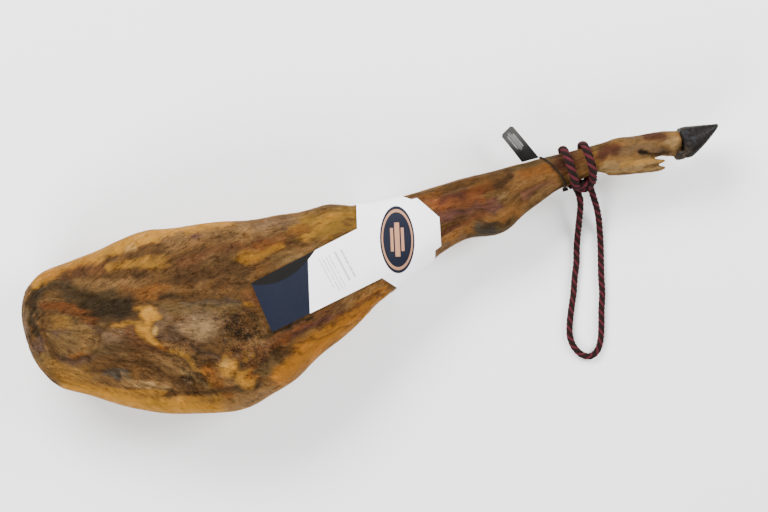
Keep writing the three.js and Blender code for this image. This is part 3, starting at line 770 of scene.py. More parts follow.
# Thin creases between the forms, sunk and darkened with painted shade: lines of (u, v), one width, cover and
# depth for all
CREASES = [
    [(46, 28), (63, 17), (77, 1)], [(76, 36), (90, 26), (113, 15), (144, 11)],
    [(164, 15), (184, 15), (211, 21)], [(189, -11), (223, -5), (258, 5), (282, 16)],
    [(211, 21), (231, 25), (261, 26)], [(175, -17), (198, -27), (209, -44)],
    [(148, -10), (155, -18), (162, -36)], [(36, 20), (27, -5), (25, -36), (33, -64)],
    [(94, -43), (119, -56), (144, -82)], [(99, -60), (123, -76), (152, -100)],
    [(78, -65), (106, -81), (135, -93), (170, -125), (190, -140)], [(135, -67), (164, -101), (184, -122)],
    [(175, -75), (191, -95), (207, -109)], [(53, -76), (83, -82), (116, -101), (145, -124), (168, -135)],
    [(200, -24), (226, -39), (257, -54)], [(91, -55), (114, -74), (133, -98)],
    [(164, -56), (179, -73), (201, -85)], [(209, -100), (225, -114), (244, -113)],
    [(284, -97), (316, -99), (355, -97), (394, -95)], [(281, -109), (319, -111), (359, -106), (402, -93)],
    [(250, 8), (270, 12), (297, 17), (330, 21)], [(262, -18), (294, -8), (326, 6), (357, 13)],
    [(269, -94), (284, -110), (296, -121)], [(243, -87), (264, -103), (285, -118)],
    [(476, 9), (500, 12), (540, 14)],
]
CREASE = {"colour": "dark brown", "half": 1.7, "cover": 0.55, "depth": -0.8}
RIM = {"centre": (58, -33), "radius": 31, "half": 3.2, "height": -2.0}
# Ragged meat: centre (u, v), half width and strength
RAGGED = [(240, -80, 30, 1.0), (180, -118, 18, 1.0), (168, -78, 22, 0.7), (246, -118, 22, 0.5)]
# Where the streaks fan out from, and how far they reach inside the hip disc and outside it
DISC_FAN = (16, -14)
DISC_REACH = 38
FAN_REACH = 130
# Stretches along the leg over which the meat turns into the shank's skin, the rind into its
# darker rind, and the shown face into its darker tones
SHANK_SKIN = (470, 520)
SHANK_RIND = (470, 560)
SHANK_DARKER = (488, 515)
# Stretches over which the streaks begin and stop fanning out, and where the marks' edges fray less
FAN_BEGINS = (50, 100)
FAN_STOPS = (250, 330)
FRAY_STOPS = (640, 680)
FIBROUS = (
    "beige muscle", "lower muscle", "pale streaks", "shin streak, lower", "green fat", "crumbly meat",
    "seam", "butt olive", "rear ridges", "rear streaks", "lower muscle, dark", "shin streaks",
)
SMOOTH_FAT = (
    "top edge", "top edge, orange", "butt border", "rear border, orange", "stifle", "shin pale",
    "shin cream", "gold knob", "gristle edge", "ankle", "hock", "pastern gold",
)


def line_distance(u, v, line):
    best = np.full(len(u), 1e9)
    for (au, av), (bu, bv) in zip(line, line[1:]):
        du, dv = bu - au, bv - av
        t = np.clip(((u - au) * du + (v - av) * dv) / (du * du + dv * dv), 0, 1)
        best = np.minimum(best, np.hypot(u - au - t * du, v - av - t * dv))
    return best


def marks(u, v):
    """Each mark as its name, colour, cover and height at the given points."""
    for name, (colour, cover, half, height, line) in STROKES.items():
        far = line_distance(u, v, line) / half
        yield name, colour, cover * (1 - ramp(far, 0.3, 1.35)), height * np.exp(-far ** 2)
    # Creases: sunk, and darker as painted shade
    for line in CREASES:
        share = np.exp(-(line_distance(u, v, line) / CREASE["half"]) ** 2)
        yield "crease", CREASE["colour"], CREASE["cover"] * share, CREASE["depth"] * share
    for name, (colour, cover, centre, halves, turn, height) in SPOTS.items():
        cos, sin = math.cos(math.radians(turn)), math.sin(math.radians(turn))
        x, y = u - centre[0], v - centre[1]
        far = np.hypot((x * cos + y * sin) / halves[0], (y * cos - x * sin) / halves[1])
        yield name, colour, cover * (1 - ramp(far, 0.4, 1.25)), height * np.exp(-far ** 2)


def feathered(points, grain):
    """Places moved by streaky noise, so that the marks' edges fray along the muscle."""
    streak = fractal(grain, (0.02, 0.13, 0.13), 2, 11)
    lump = fractal(points, 0.05, 2, 23)
    cross = fractal(points, 0.07, 3, 37)
    edge = 1.8 * fractal(points, 0.13, 2, 41)
    share = 1 - 0.6 * ramp(points[:, 0], *FRAY_STOPS)
    u = points[:, 0] + share * (5 * streak + 3 * lump + 1.2 * edge)
    v = points[:, 1] + share * (2.4 * cross + 1.2 * streak - 1.2 * edge)
    return u, v


def under_label(u, v, margin):
    """1 inside the card's outline, falling to 0 at the margin outside it."""
    inside = np.zeros(len(u), bool)
    far = np.full(len(u), 1e9)
    outline = LABEL_TOP + LABEL_TOP[:1]
    for (au, av), (bu, bv) in zip(outline, outline[1:]):
        crossing = (av > v) != (bv > v)
        with np.errstate(divide="ignore", invalid="ignore"):
            at = au + (v - av) / (bv - av) * (bu - au)
        inside ^= crossing & (u < at)
        far = np.minimum(far, line_distance(u, v, [(au, av), (bu, bv)]))
    return np.where(inside, 1.0, 1 - ramp(far, 0.3 * margin, margin))


def disc_ring(u, v):
    """1 along the groove round the hip disc, which fades out towards the shin. It sinks the groove, and
    darkens it as painted shade.
    """
    x, y = u - RIM["centre"][0], (v - RIM["centre"][1]) * 1.06
    turn = np.arctan2(y, x)
    radius = RIM["radius"] + 2.2 * np.sin(3 * turn + 0.6) + 1.4 * np.sin(5 * turn)
    strength = 0.35 + 0.65 * ramp(-np.sin(turn - 0.5), -0.7, 0.3)
    return strength * np.exp(-((np.hypot(x, y) - radius) / RIM["half"]) ** 2)


def fan_grain(points):
    """Streaks that fan out from the butt: finer inside the hip disc than outside it."""
    x, y = points[:, 0] - DISC_FAN[0], points[:, 1] - DISC_FAN[1]
    away, turn = np.hypot(x, y), np.arctan2(y, x)
    ring = np.hypot(points[:, 0] - RIM["centre"][0], points[:, 1] - RIM["centre"][1])
    reach = np.where(ring < RIM["radius"], DISC_REACH, FAN_REACH)
    return np.stack([away, reach * np.cos(turn), reach * np.sin(turn)], axis=1)


def fan_share(points, facing):
    """1 where the streaks fan out, 0 where they follow the leg."""
    ring = np.hypot(points[:, 0] - RIM["centre"][0], points[:, 1] - RIM["centre"][1])
    start = np.where(ring < RIM["radius"], 1.0, ramp(points[:, 0], *FAN_BEGINS))
    return start * (1 - ramp(points[:, 0], *FAN_STOPS)) * ramp(facing, 0.0, 0.4)


def woven(points, facing, grain, scale, octaves, seed):
    """Streaky noise that follows the leg, or fans out from the butt."""
    straight = fractal(grain, scale, octaves, seed)
    fanned = fractal(fan_grain(points), scale, octaves, seed)
    return straight + fan_share(points, facing) * (fanned - straight)


def fatness(u, v):
    """1 on the smooth fat and tendon, 0 on bare meat."""
    return np.max([cover for name, _, cover, _ in marks(u, v) if name in SMOOTH_FAT], axis=0)


def fibrousness(u, v):
    """1 where the muscle's fibres stand out."""
    return np.max([cover for name, _, cover, _ in marks(u, v) if name in FIBROUS], axis=0)


def crumble(points, u, v):
    """How ragged the meat is: most in the hollow and the pit, least on the fat and the rind."""
    rough = sum(
        share * np.exp(-(np.hypot(u - at, v - across) / half) ** 2) for at, across, half, share in RAGGED
    )
    return np.clip(rough + 0.3 * fractal(points, 0.05, 2, 51) * rough, 0, 1)


def relief(points, facing, grain):
    """Height of the fine forms over the smooth skin, in mm."""
    u, v = feathered(points, grain)
    shown = ramp(facing, -0.1, 0.45)
    height = sum(mark[3] for mark in marks(u, v))
    height = height + RIM["height"] * disc_ring(u, v)
    rough = crumble(points, u, v)
    muscle = woven(points, facing, grain, (0.01, 0.06, 0.06), 2, 61)
    fibre = 1 - 2 * np.abs(woven(points, facing, grain, (0.018, 0.12, 0.12), 2, 71))
    pits = -np.abs(fractal(points, 0.11, 3, 81))
    fine = 0.6 * muscle + 0.5 * fibre + rough * (2.6 * pits + 0.8)
    fine *= 1 - 0.45 * ramp(u, *SHANK_SKIN)
    dents = fractal(points, 0.018, 3, 91)
    pores = fractal(points, 0.16, 3, 97)
    return shown * (height + fine) + (1 - shown) * (0.55 * dents + 0.12 * pores)


def blended(base, *layers):
    """A colour with others mixed in, each by its share at every point."""
    return base + sum(np.outer(share, other - base) for share, other in layers)


def covered(colour, share, other):
    """The colour at each point with another laid over it."""
    return colour + share[:, None] * (other - colour)


def face_tones(points, u, v, tone, streak, lump):
    """Colour of the shown face: meat under streaks, marks and specks, with black spots of painted shade for
    small holes.
    """
    light, dark = 0.7 * ramp(streak, -0.1, 1.0), ramp(-streak, 0.0, 1.1)
    olive = 0.6 * ramp(lump, 0.1, 1.0)
    face = blended(tone["brown"], (light, tone["tan"]), (dark, tone["dark brown"]), (olive, tone["olive"]))
    for _, colour, cover, _ in marks(u, v):
        face = covered(face, cover, tone[colour])
    # Painted shade in the groove round the hip disc
    face = covered(face, 0.4 * disc_ring(u, v), tone["dark brown"])
    rough = crumble(points, u, v)
    specks = ramp(fractal(points, 0.2, 3, 131), 0.35, 0.8) * rough
    face = covered(face, 0.7 * specks, tone["grey brown"])
    # Painted shade: black spots in the ragged meat for the shade in small holes
    hole_shade = ramp(fractal(points, 0.14, 3, 137), 0.2, 0.7) * rough
    face = covered(face, 0.8 * hole_shade, tone["black"])
    return face * (1.04 - 0.22 * ramp(u, *SHANK_DARKER))[:, None]


def rind_tones(points, facing, tone, lump):
    """Colour of the rind, paler and greyer on the sides that turn away."""
    mottle = fractal(points, 0.02, 4, 127)
    orange, brown = ramp(mottle, 0.0, 1.0), 0.8 * ramp(-mottle, 0.1, 1.0)
    gold = 0.3 * ramp(lump, 0.3, 1.0)
    side = 0.6 * ramp(-facing, -0.2, 0.4) * (1 - 0.5 * ramp(points[:, 0], *SHANK_RIND))
    return blended(
        tone["rind"], (orange, 0.8 * tone["rind orange"]), (brown, tone["brown"]),
        (gold, tone["gold"]), (side, tone["rind side"]),
    )


def tones(points, facing, grain):
    """Colour of each point in linear light."""
    u, v = feathered(points, grain)
    tone = {name: np.array(colour) for name, colour in TONES.items()}
    streak = woven(points, facing, grain, (0.018, 0.12, 0.12), 3, 101)
    lump = fractal(points, 0.035, 3, 113)
    face = face_tones(points, u, v, tone, streak, lump)
    rind = rind_tones(points, facing, tone, lump)
    rind = covered(rind, 0.45 * ramp(points[:, 0], *SHANK_RIND), face)
    shown = ramp(facing + 0.12 * streak, -0.12, 0.34)
    return np.clip(covered(rind, shown, face), 0.004, 0.95)


def dress(mesh, grain):
    """Gives a piece of the leg its relief, then its colour, grain and raggedness."""
    points, normals = to_leg(points_of(mesh)), points_of(mesh, "normal")
    facing = normals[:, 2]
    hidden = np.where(facing > 0, under_label(points[:, 0], points[:, 1], 5.0), 0)
    hidden = np.maximum(hidden, label_band(points[:, 0]) * (facing <= 0.2))
    height = (relief(points, facing, grain) * RELIEF - SINK) * (1 - hidden)
    moved = points + normals * height[:, None]
    moved[:, 2] = np.maximum(moved[:, 2], LOWEST)
    set_points(mesh, moved)
    colour = tones(points, facing, grain)
    put(mesh, "tone", np.hstack([colour, np.ones((len(colour), 1))]))
    put(mesh, "grain", grain)
    put(mesh, "fan", fan_grain(points))
    put(mesh, "fan_share", fan_share(points, facing))
    u, v = feathered(points, grain)
    shank = ramp(points[:, 0], *SHANK_SKIN)
    put(mesh, "fat", np.maximum(fatness(u, v), 0.8 * shank))
    put(mesh, "fibrous", fibrousness(u, v) * (1 - shank))
    put(mesh, "rough", crumble(points, points[:, 0], points[:, 1]) * ramp(facing, 0, 0.4))
    put(mesh, "face", ramp(facing, -0.1, 0.4))


def label_band(u):
    """1 where the card passes round the shank, falling to 0 beside it."""
    return ramp(u, *BAND_START) * (1 - ramp(u, *BAND_END))


def woven_noise(look, scale, **settings):
    """Noise stretched along the leg, or along the fan at the butt."""
    straight = look.noise(look.attribute("grain", "Vector"), scale, **settings)
    fanned = look.noise(look.attribute("fan", "Vector"), scale, **settings)
    return look.ramp(look.attribute("fan_share"), 0.0, 1.0, straight, fanned)


def stained(look, colour, cover, tint, of=None):
    """The colour with a tint of itself, or of another colour, laid over it."""
    return look.mix(cover, colour, look.tinted(of or colour, tint))


def meat_colour(look, noise, lean, crease):
    tone, rough = look.attribute("tone", "Color"), look.attribute("rough")
    patch, streak, fibre, mottle, grit = noise
    colour = stained(look, tone, look.ramp(patch, 0.5, 0.66, 0.0, 0.8), (1.3, 1.18, 1.0))
    colour = stained(look, colour, look.ramp(patch, 0.47, 0.3, 0.0, 0.8), (0.68, 0.72, 0.8), tone)
    patched = colour
    # The meat's own streaks, darkened in the bump's low streaks and lightened on its high ones: partly
    # painted shade and painted light
    dark = look.times(look.ramp(streak, 0.5, 0.34, 0.0, 0.85), lean)
    light = look.times(look.ramp(streak, 0.54, 0.7, 0.0, 0.85), lean)
    colour = stained(look, colour, dark, (0.42, 0.40, 0.40), patched)
    colour = stained(look, colour, light, (1.65, 1.6, 1.5), patched)
    strong = look.times(lean, look.ramp(look.attribute("fibrous"), 0.1, 0.7, 0.75, 1.3))
    dark = look.times(look.ramp(fibre, 0.43, 0.36, 0.0, 0.75), strong)
    light = look.times(look.ramp(fibre, 0.58, 0.67, 0.0, 0.6), strong)
    colour = stained(look, colour, dark, (0.34, 0.30, 0.28))
    colour = look.mix(light, colour, look.mix(0.2, look.tinted(colour, (1.7, 1.7, 1.7)), TONES["pale"]))
    # Painted shade in the fine creases, which the bump also sinks
    colour = stained(look, colour, look.times(crease, 0.6), (0.25, 0.2, 0.2))
    colour = stained(look, colour, look.ramp(mottle, 0.53, 0.7, 0.0, 0.6), (0.6, 0.57, 0.52))
    colour = stained(look, colour, look.ramp(mottle, 0.46, 0.3, 0.0, 0.4), (1.35, 1.35, 1.3))
    specks = look.times(look.ramp(grit, 0.54, 0.68, 0.0, 0.6), rough)
    colour = look.mix(specks, colour, TONES["honey"])
    # Painted shade: black in the small pits of the ragged meat, which the bump sinks
    ragged = look.times(rough, look.ramp(grit, 0.46, 0.38))
    return look.mix(look.times(ragged, 0.8), colour, TONES["black"])


def meat_look():
    look = Look("cured_meat")
    place, rough = look.place(), look.attribute("rough")
    patch = look.noise(place, 42.0, detail=5.0, roughness=0.62, distortion=0.5)
    streak = woven_noise(look, (0.09, 0.34, 0.34), detail=6.0, roughness=0.66, distortion=0.6)
    fibre = woven_noise(look, (0.26, 1.5, 1.5), detail=4.0, roughness=0.66, distortion=0.3)
    fold = woven_noise(look, (0.026, 0.13, 0.13), detail=3.0, roughness=0.55, distortion=0.4)
    mottle = look.noise(place, 130.0, detail=5.0, roughness=0.62)
    grit = look.noise(place, 620.0, detail=4.0, roughness=0.65)
    shown = look.ramp(look.attribute("face"), 0.0, 1.0, 0.35, 1.0)
    lean = look.times(shown, look.ramp(look.attribute("fat"), 0.2, 1.0, 1.0, 0.5))
    crease = look.times(look.near(fold, 0.5, 0.0, 0.014), lean)
    crease = look.times(crease, look.ramp(patch, 0.4, 0.55))
    colour = meat_colour(look, (patch, streak, fibre, mottle, grit), lean, crease)
    height = look.minus(look.plus(streak, look.times(fibre, 0.4)), look.times(crease, 0.3))
    height = look.plus(look.times(height, lean), look.times(mottle, 0.4))
    height = look.plus(height, look.times(look.times(grit, rough), 1.2))
    gloss = look.plus(look.ramp(streak, 0.35, 0.7, 0.6, 0.42), look.times(rough, 0.25))
    look.set(Base_Color=colour, Roughness=look.plus(gloss, look.ramp(mottle, 0.3, 0.7, -0.05, 0.06)))
    look.set(Specular_IOR_Level=0.012, Specular_Tint=(1.0, 0.85, 0.6))
    look.set(Normal=look.bump(height, 0.65, 0.0012))
    return look.material


def make_leg(look):
    rings = smoothed(leg_rings(), SMOOTH_PASSES)
    corners = np.vstack([rings.reshape(-1, 3), rings[0].mean(axis=0), rings[-1].mean(axis=0)])
    leg = mesh_object("leg", corners, capped_faces(len(rings), RING_POINTS))
    grain = grain_of(rings)
    grain = np.vstack([grain, [grain[0, 0], 0, 0], [grain[-1, 0], 0, 0]])
    dress(leg.data, grain)
    finish_piece(leg, look, "ham")
    return rings


# Foot: the solid's foot with its dewclaws, remeshed so that the forms run into each other

FOOT_VOXEL = 0.95
# Flesh that runs into each dewclaw: (u, v, z, radius)
DEWCLAW_ROOTS = [
    [
        (680, -8, 51, 7.5), (700, -12.5, 54, 8), (718, -16, 56, 7.4), (736, -20, 57.5, 5.4),
        (744, -22, 58, 3.8), (751, -23, 58, 1.9),
    ],
    [
        (684, -11, 44, 7.5), (700, -17.5, 43, 8), (720, -22.5, 42, 7), (736, -26.5, 41, 5.6),
        (744, -29, 40.5, 4.2), (752, -30.5, 40.5, 1.8),
    ],
    [
        (690, -15, 48, 8.4), (706, -19, 49, 8.6), (722, -21.5, 49.5, 8.2), (735, -24, 49.5, 6.6),
        (742, -25.6, 49, 4.6),
    ],
]
# Small forms of the foot's skin: centre (u, v, z) and radius
FOOT_LUMPS = [
    (704, 9, 56, 8.5), (726, 7, 58, 7), (764, -5, 60, 7), (712, -2, 60, 6.5), (757, -11, 47, 7),
    (765, -14, 46, 7.5), (771, -11, 47, 7), (774, -15, 46.5, 5),
]
FOOT_SMOOTHING = 7
WELD = 1e-5


def remeshed(name, bm, voxel, smoothing):
    """A new object from the joined shapes in bm, in even small faces."""
    mesh = bpy.data.meshes.new(name)
    bm.to_mesh(mesh)
    bm.free()
    piece = placed(name, mesh)
    remesh = piece.modifiers.new("remesh", "REMESH")
    remesh.mode = "VOXEL"
    remesh.voxel_size = voxel * MM
    soften = piece.modifiers.new("soften", "SMOOTH")
    soften.iterations = smoothing
    soften.factor = 0.5
    applied(piece)
    return piece


def add_chain(bm, chain, spacing=2.5):
    """Overlapping balls along a line of (u, v, z, radius)."""
    chain = np.array(chain, float)
    length = run_length(chain[:, :3])
    for u, v, z, radius in points_at(np.arange(0, length[-1] + 0.01, spacing), length, chain):
        made = bmesh.ops.create_icosphere(bm, subdivisions=2, radius=radius * MM)
        bmesh.ops.translate(bm, verts=made["verts"], vec=Vector(to_frame((u, v, z))))


def solid_copy(node):
    """The solid's own mesh, with its corners joined, to build on."""
    bm = bmesh.new()
    bm.from_mesh(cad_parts[node].data)
    bmesh.ops.remove_doubles(bm, verts=bm.verts[:], dist=WELD)
    return bm


def make_foot(look):
    bm = solid_copy("ham")
    cut = Vector(to_frame((FOOT_CUT, 0, 0)))
    geometry = bm.verts[:] + bm.edges[:] + bm.faces[:]
    bmesh.ops.bisect_plane(bm, geom=geometry, dist=1e-6, plane_co=cut, plane_no=(1, 0, 0), clear_inner=True)
    bmesh.ops.holes_fill(bm, edges=[e for e in bm.edges if e.is_boundary])
    for chain in DEWCLAW_ROOTS:
        add_chain(bm, chain)
    for lump in FOOT_LUMPS:
        add_chain(bm, [lump, lump])
    foot = remeshed("foot", bm, FOOT_VOXEL, FOOT_SMOOTHING)
    dress(foot.data, to_leg(points_of(foot.data)))
    finish_piece(foot, look, "ham")


# Claws

CLAW_VOXEL = 0.75
CLAW_SMOOTHING = 5
# Growth rings: where they begin along the leg, how far they lean, how close and how high they are
CLAW_RINGS = {"start": 778, "full": 784, "lean": 0.45, "turn": 1.3, "height": 0.05}
# Toe's painted blue-grey reflection: centre (u, v) and radius. Heel and side: stretches over which they end
# or begin
CLAW_TOE_REFLECTION = (786, -4, 9)
HEEL_ALONG = (774, 786)
HEEL_ACROSS = (-18, -6)
CLAW_SIDE = (4, 9)


def claw_look():
    look = Look("horn")
    place = look.place()
    parts = look.add("SeparateXYZ", {0: look.attribute("claw", "Vector")})
    toe_reflection, heel, side = parts.outputs[0], parts.outputs[1], parts.outputs[2]
    streak = look.noise(place, (90.0, 900.0, 900.0), detail=4.0)
    mottle = look.noise(place, 240.0, detail=5.0)
    grit = look.noise(place, 1400.0, detail=3.0)
    colour = look.mix(streak, (0.004, 0.0035, 0.003), (0.013, 0.0115, 0.0105))
    # Painted reflection: blue-grey patches on the toe
    colour = look.mix(look.times(toe_reflection, look.ramp(mottle, 0.4, 0.7)), colour, (0.026, 0.026, 0.032))
    colour = look.mix(look.times(heel, look.ramp(mottle, 0.35, 0.6)), colour, (0.036, 0.026, 0.018))
    colour = look.mix(look.ramp(grit, 0.58, 0.75, 0.0, 0.35), colour, (0.06, 0.05, 0.04))
    colour = look.mix(look.times(side, 0.5), colour, (0.05, 0.038, 0.028))
    wave = {"Vector": place, "Scale": 105.0, "Distortion": 1.6, "Detail": 2.0}
    rings = look.add("TexWave", wave, bands_direction="X").outputs[1]
    height = look.plus(look.times(rings, 0.35), look.times(streak, 0.5))
    height = look.plus(height, look.times(look.times(mottle, heel), 1.6))
    rough = look.plus(look.ramp(mottle, 0.3, 0.7, 0.32, 0.46), look.times(heel, 0.3))
    look.set(Base_Color=colour, Roughness=rough, Specular_IOR_Level=0.06)
    look.set(Normal=look.bump(height, 0.35, 0.0006))
    return look.material


def make_claws():
    look = claw_look()
    for node in ("claw_upper", "claw_lower"):
        claw = remeshed(node.replace("claw", "hoof"), solid_copy(node), CLAW_VOXEL, CLAW_SMOOTHING)
        mesh = claw.data
        points, normals = to_leg(points_of(mesh)), points_of(mesh, "normal")
        u, v = points[:, 0], points[:, 1]
        slope = (u - 776) + CLAW_RINGS["lean"] * v
        heel = (1 - ramp(u, *HEEL_ALONG)) * fall(v, *HEEL_ACROSS)
        rings = CLAW_RINGS["height"] * np.sin(slope * CLAW_RINGS["turn"])
        rings = rings * ramp(u, CLAW_RINGS["start"], CLAW_RINGS["full"])
        lumps = 0.8 * heel * fractal(points, 0.22, 3, 211)
        height = rings + lumps + 0.12 * fractal(points, 0.5, 3, 223) - 0.3
        set_points(mesh, points + normals * height[:, None])
        toe_reflection = np.exp(-((u - CLAW_TOE_REFLECTION[0]) / CLAW_TOE_REFLECTION[2]) ** 2 - ((v - CLAW_TOE_REFLECTION[1]) / CLAW_TOE_REFLECTION[2]) ** 2)
        put(mesh, "claw", np.stack([toe_reflection, heel, ramp(v, *CLAW_SIDE)], axis=1))
        finish_piece(claw, look, node)


# Label: a thin card bent over the shank, cut from a shell that follows the smoothed skin

CARD_GAP = 0.55
CARD = 0.6
# Where the card stands off the skin: how far, and over which stretches that fades
FLAP_LIFT = 1.6
FLAP_END = (262, 300)
SHOULDER_LIFT = 1.0
SHOULDER_END = (398, 410)
SHOULDER_SIDE = (-6, 6)
LABEL_STRETCH = (240, 500)
BELT_HEIGHT = 46.0
ABOVE_ALL = 170
BELOW_ALL = -10
CARD_CREASE = math.radians(35)

# Print: bars with their place along the leg, half width, and where they start and end across it
PRINT_LEAN = 0.22
CARD_PRINT = {
    "soft": (0.25, 0.4), "apart": 1.0, "words": 0.42, "gaps": (0.38, 0.42),
    "bars": [
        (364.5, 1.1, -56, -22), (357.2, 1.1, -58, -22), (349.5, 0.45, -66, -24),
        (345.5, 0.45, -66, -24), (341.5, 0.45, -66, -26), (337.5, 0.45, -62, -26),
    ],
}
# Fields of colour: the straight edge of the blue end, and the bowed edge of the dark field
FIELD_LINE = ((331, -25.5), (317.5, -82.2))
BOW_LINE = ((393, -4.3), (265, -31.4))
BOW = {"middle": 302.0, "deep": 13.0, "bend": 0.0082}
OVAL = {"centre": (433, -28), "half": (19.5, 38), "turn": -13, "ring": 0.86, "ring_half": 0.035}
# Bars in the oval: place across it, half width and half length
OVAL_BARS = [(-6.0, 1.5, 13.0), (0.0, 2.6, 19.0), (6.0, 1.5, 13.0)]


def ring_normals(rings):
    along = np.gradient(rings, axis=0)
    across = np.roll(rings, -1, axis=1) - np.roll(rings, 1, axis=1)
    return unit(np.cross(across, along))


def prism(name, outline, low, high):
    count = len(outline)
    corners = [(u, v, z) for z in (low, high) for u, v in outline]
    area = sum(a[0] * b[1] - b[0] * a[1] for a, b in zip(outline, outline[1:] + outline[:1]))
    order = list(range(count)) if area > 0 else list(range(count))[::-1]
    faces = [order[::-1], [count + i for i in order]]
    faces += [(a, b, b + count, a + count) for a, b in zip(order, order[1:] + order[:1])]
    return mesh_object(name, corners, faces)


def combined(piece, tool, operation):
    """Joins or cuts a piece by another, which is then removed."""
    cut = piece.modifiers.new("cut", "BOOLEAN")
    cut.operation = operation
    cut.object = tool
    cut.solver = "EXACT"
    applied(piece)
    bpy.data.objects.remove(tool)
    return piece


def label_shell(rings):
    """A closed sleeve round the leg, lifted a little at the end of the flap."""
    first = int(np.argmax(rings[:, 0, 0] > LABEL_STRETCH[0]))
    last = int(np.argmax(rings[:, 0, 0] > LABEL_STRETCH[1]))
    base, normal = rings[first:last:2], ring_normals(rings)[first:last:2]
    u, v = base[..., 0], base[..., 1]
    lift = FLAP_LIFT * fall(u, *FLAP_END)
    lift = lift + SHOULDER_LIFT * fall(u, *SHOULDER_END) * ramp(v, *SHOULDER_SIDE)
    inner = base + normal * (CARD_GAP + lift)[..., None]
    outer = inner + normal * CARD
    count = len(base)
    corners = np.vstack([outer.reshape(-1, 3), inner.reshape(-1, 3)])
    skin = ring_faces(count, RING_POINTS)
    shift = count * RING_POINTS
    faces = skin + [tuple(shift + i for i in face[::-1]) for face in skin]
    for j in range(RING_POINTS):
        k = (j + 1) % RING_POINTS
        end = (count - 1) * RING_POINTS
        faces.append((k, j, shift + j, shift + k))
        faces.append((end + j, end + k, shift + end + k, shift + end + j))
    return mesh_object("label_card", corners, faces)


def printed_bars(look, across, along, kind):
    """Thin broken bars where words would be, with no letters."""
    ink = 0.0
    for at, half, start, end in kind["bars"]:
        place = look.add("CombineXYZ", {0: at * kind["apart"], 1: along}).outputs[0]
        word = look.ramp(look.noise(place, kind["words"], detail=1.0), *kind["gaps"])
        bar = look.near(across, at, half, kind["soft"][0])
        bar = look.times(bar, look.between(along, start, end, kind["soft"][1]))
        ink = look.math("MAXIMUM", ink, look.times(bar, word))
    return ink


def side_of(look, u, v, line):
    """Distance from a line, positive to its left."""
    (au, av), (bu, bv) = line
    length = math.hypot(bu - au, bv - av)
    a, b = -(bv - av) / length, (bu - au) / length
    value = look.plus(look.times(u, a), look.times(v, b))
    return look.minus(value, a * au + b * av)


def oval_print(look, u, v, colour, navy, copper):
    """A plain oval with a ring and three bars."""
    cos, sin = math.cos(math.radians(OVAL["turn"])), math.sin(math.radians(OVAL["turn"]))
    x, y = look.minus(u, OVAL["centre"][0]), look.minus(v, OVAL["centre"][1])
    across = look.plus(look.times(x, cos), look.times(y, sin))
    along = look.minus(look.times(y, cos), look.times(x, sin))
    a, b = look.times(across, 1 / OVAL["half"][0]), look.times(along, 1 / OVAL["half"][1])
    far = look.math("SQRT", look.plus(look.times(a, a), look.times(b, b)))
    colour = look.mix(look.ramp(far, 0.99, 1.01, 1.0, 0.0), colour, navy)
    colour = look.mix(look.near(far, OVAL["ring"], OVAL["ring_half"], 0.02), colour, copper)
    for at, half, reach in OVAL_BARS:
        bar = look.times(look.near(across, at, half, 0.3), look.near(along, 0.0, reach, 0.3))
        colour = look.mix(bar, colour, copper)
    return colour


def label_look():
    look = Look("label_card")
    place = look.place()
    parts = look.add("SeparateXYZ", {0: place})
    u = look.plus(look.math("DIVIDE", parts.outputs[0], MM), ORIGIN[0])
    v = look.plus(look.math("DIVIDE", parts.outputs[1], MM), ORIGIN[1])
    paper = look.noise(place, 1500.0, detail=3.0)
    cloud = look.noise(place, 22.0, detail=2.0)
    dye = look.noise(place, 180.0, detail=4.0)
    white = look.mix(cloud, (0.92, 0.875, 0.93), (0.97, 0.92, 0.98))
    navy = look.mix(dye, (0.0065, 0.008, 0.016), (0.0095, 0.0115, 0.021))
    copper = look.mix(paper, (0.30, 0.15, 0.085), (0.36, 0.19, 0.115))
    ink = printed_bars(look, look.plus(u, look.times(v, PRINT_LEAN)), v, CARD_PRINT)
    colour = look.mix(look.times(ink, 0.55), white, (0.12, 0.12, 0.14))
    field = look.ramp(side_of(look, u, v, FIELD_LINE), -0.2, 0.2, 1.0, 0.0)
    colour = look.mix(field, colour, navy)
    from_middle = look.minus(u, BOW["middle"])
    bow = look.minus(BOW["deep"], look.times(look.times(from_middle, from_middle), BOW["bend"]))
    dark = look.ramp(look.minus(bow, side_of(look, u, v, BOW_LINE)), -0.2, 0.2)
    colour = look.mix(dark, colour, (0.006, 0.0055, 0.005))
    colour = oval_print(look, u, v, colour, navy, copper)
    look.set(Base_Color=colour, Roughness=look.ramp(paper, 0.3, 0.7, 0.42, 0.52), Specular_IOR_Level=0.1)
    height = look.plus(look.times(paper, 0.2), look.times(cloud, 3.0))
    look.set(Normal=look.bump(height, 0.12, 0.0006))
    return look.material


def make_label(rings):
    outline = prism("outline", LABEL_TOP, BELT_HEIGHT - 0.01, ABOVE_ALL)
    outline = combined(outline, prism("belt", LABEL_UNDER, BELOW_ALL, BELT_HEIGHT), "UNION")
    card = combined(label_shell(rings), outline, "INTERSECT")
    card.data.set_sharp_from_angle(angle=CARD_CREASE)
    finish_piece(card, label_look(), "label")


# Seal: a thin strap round the ankle, its lock and its flat flag

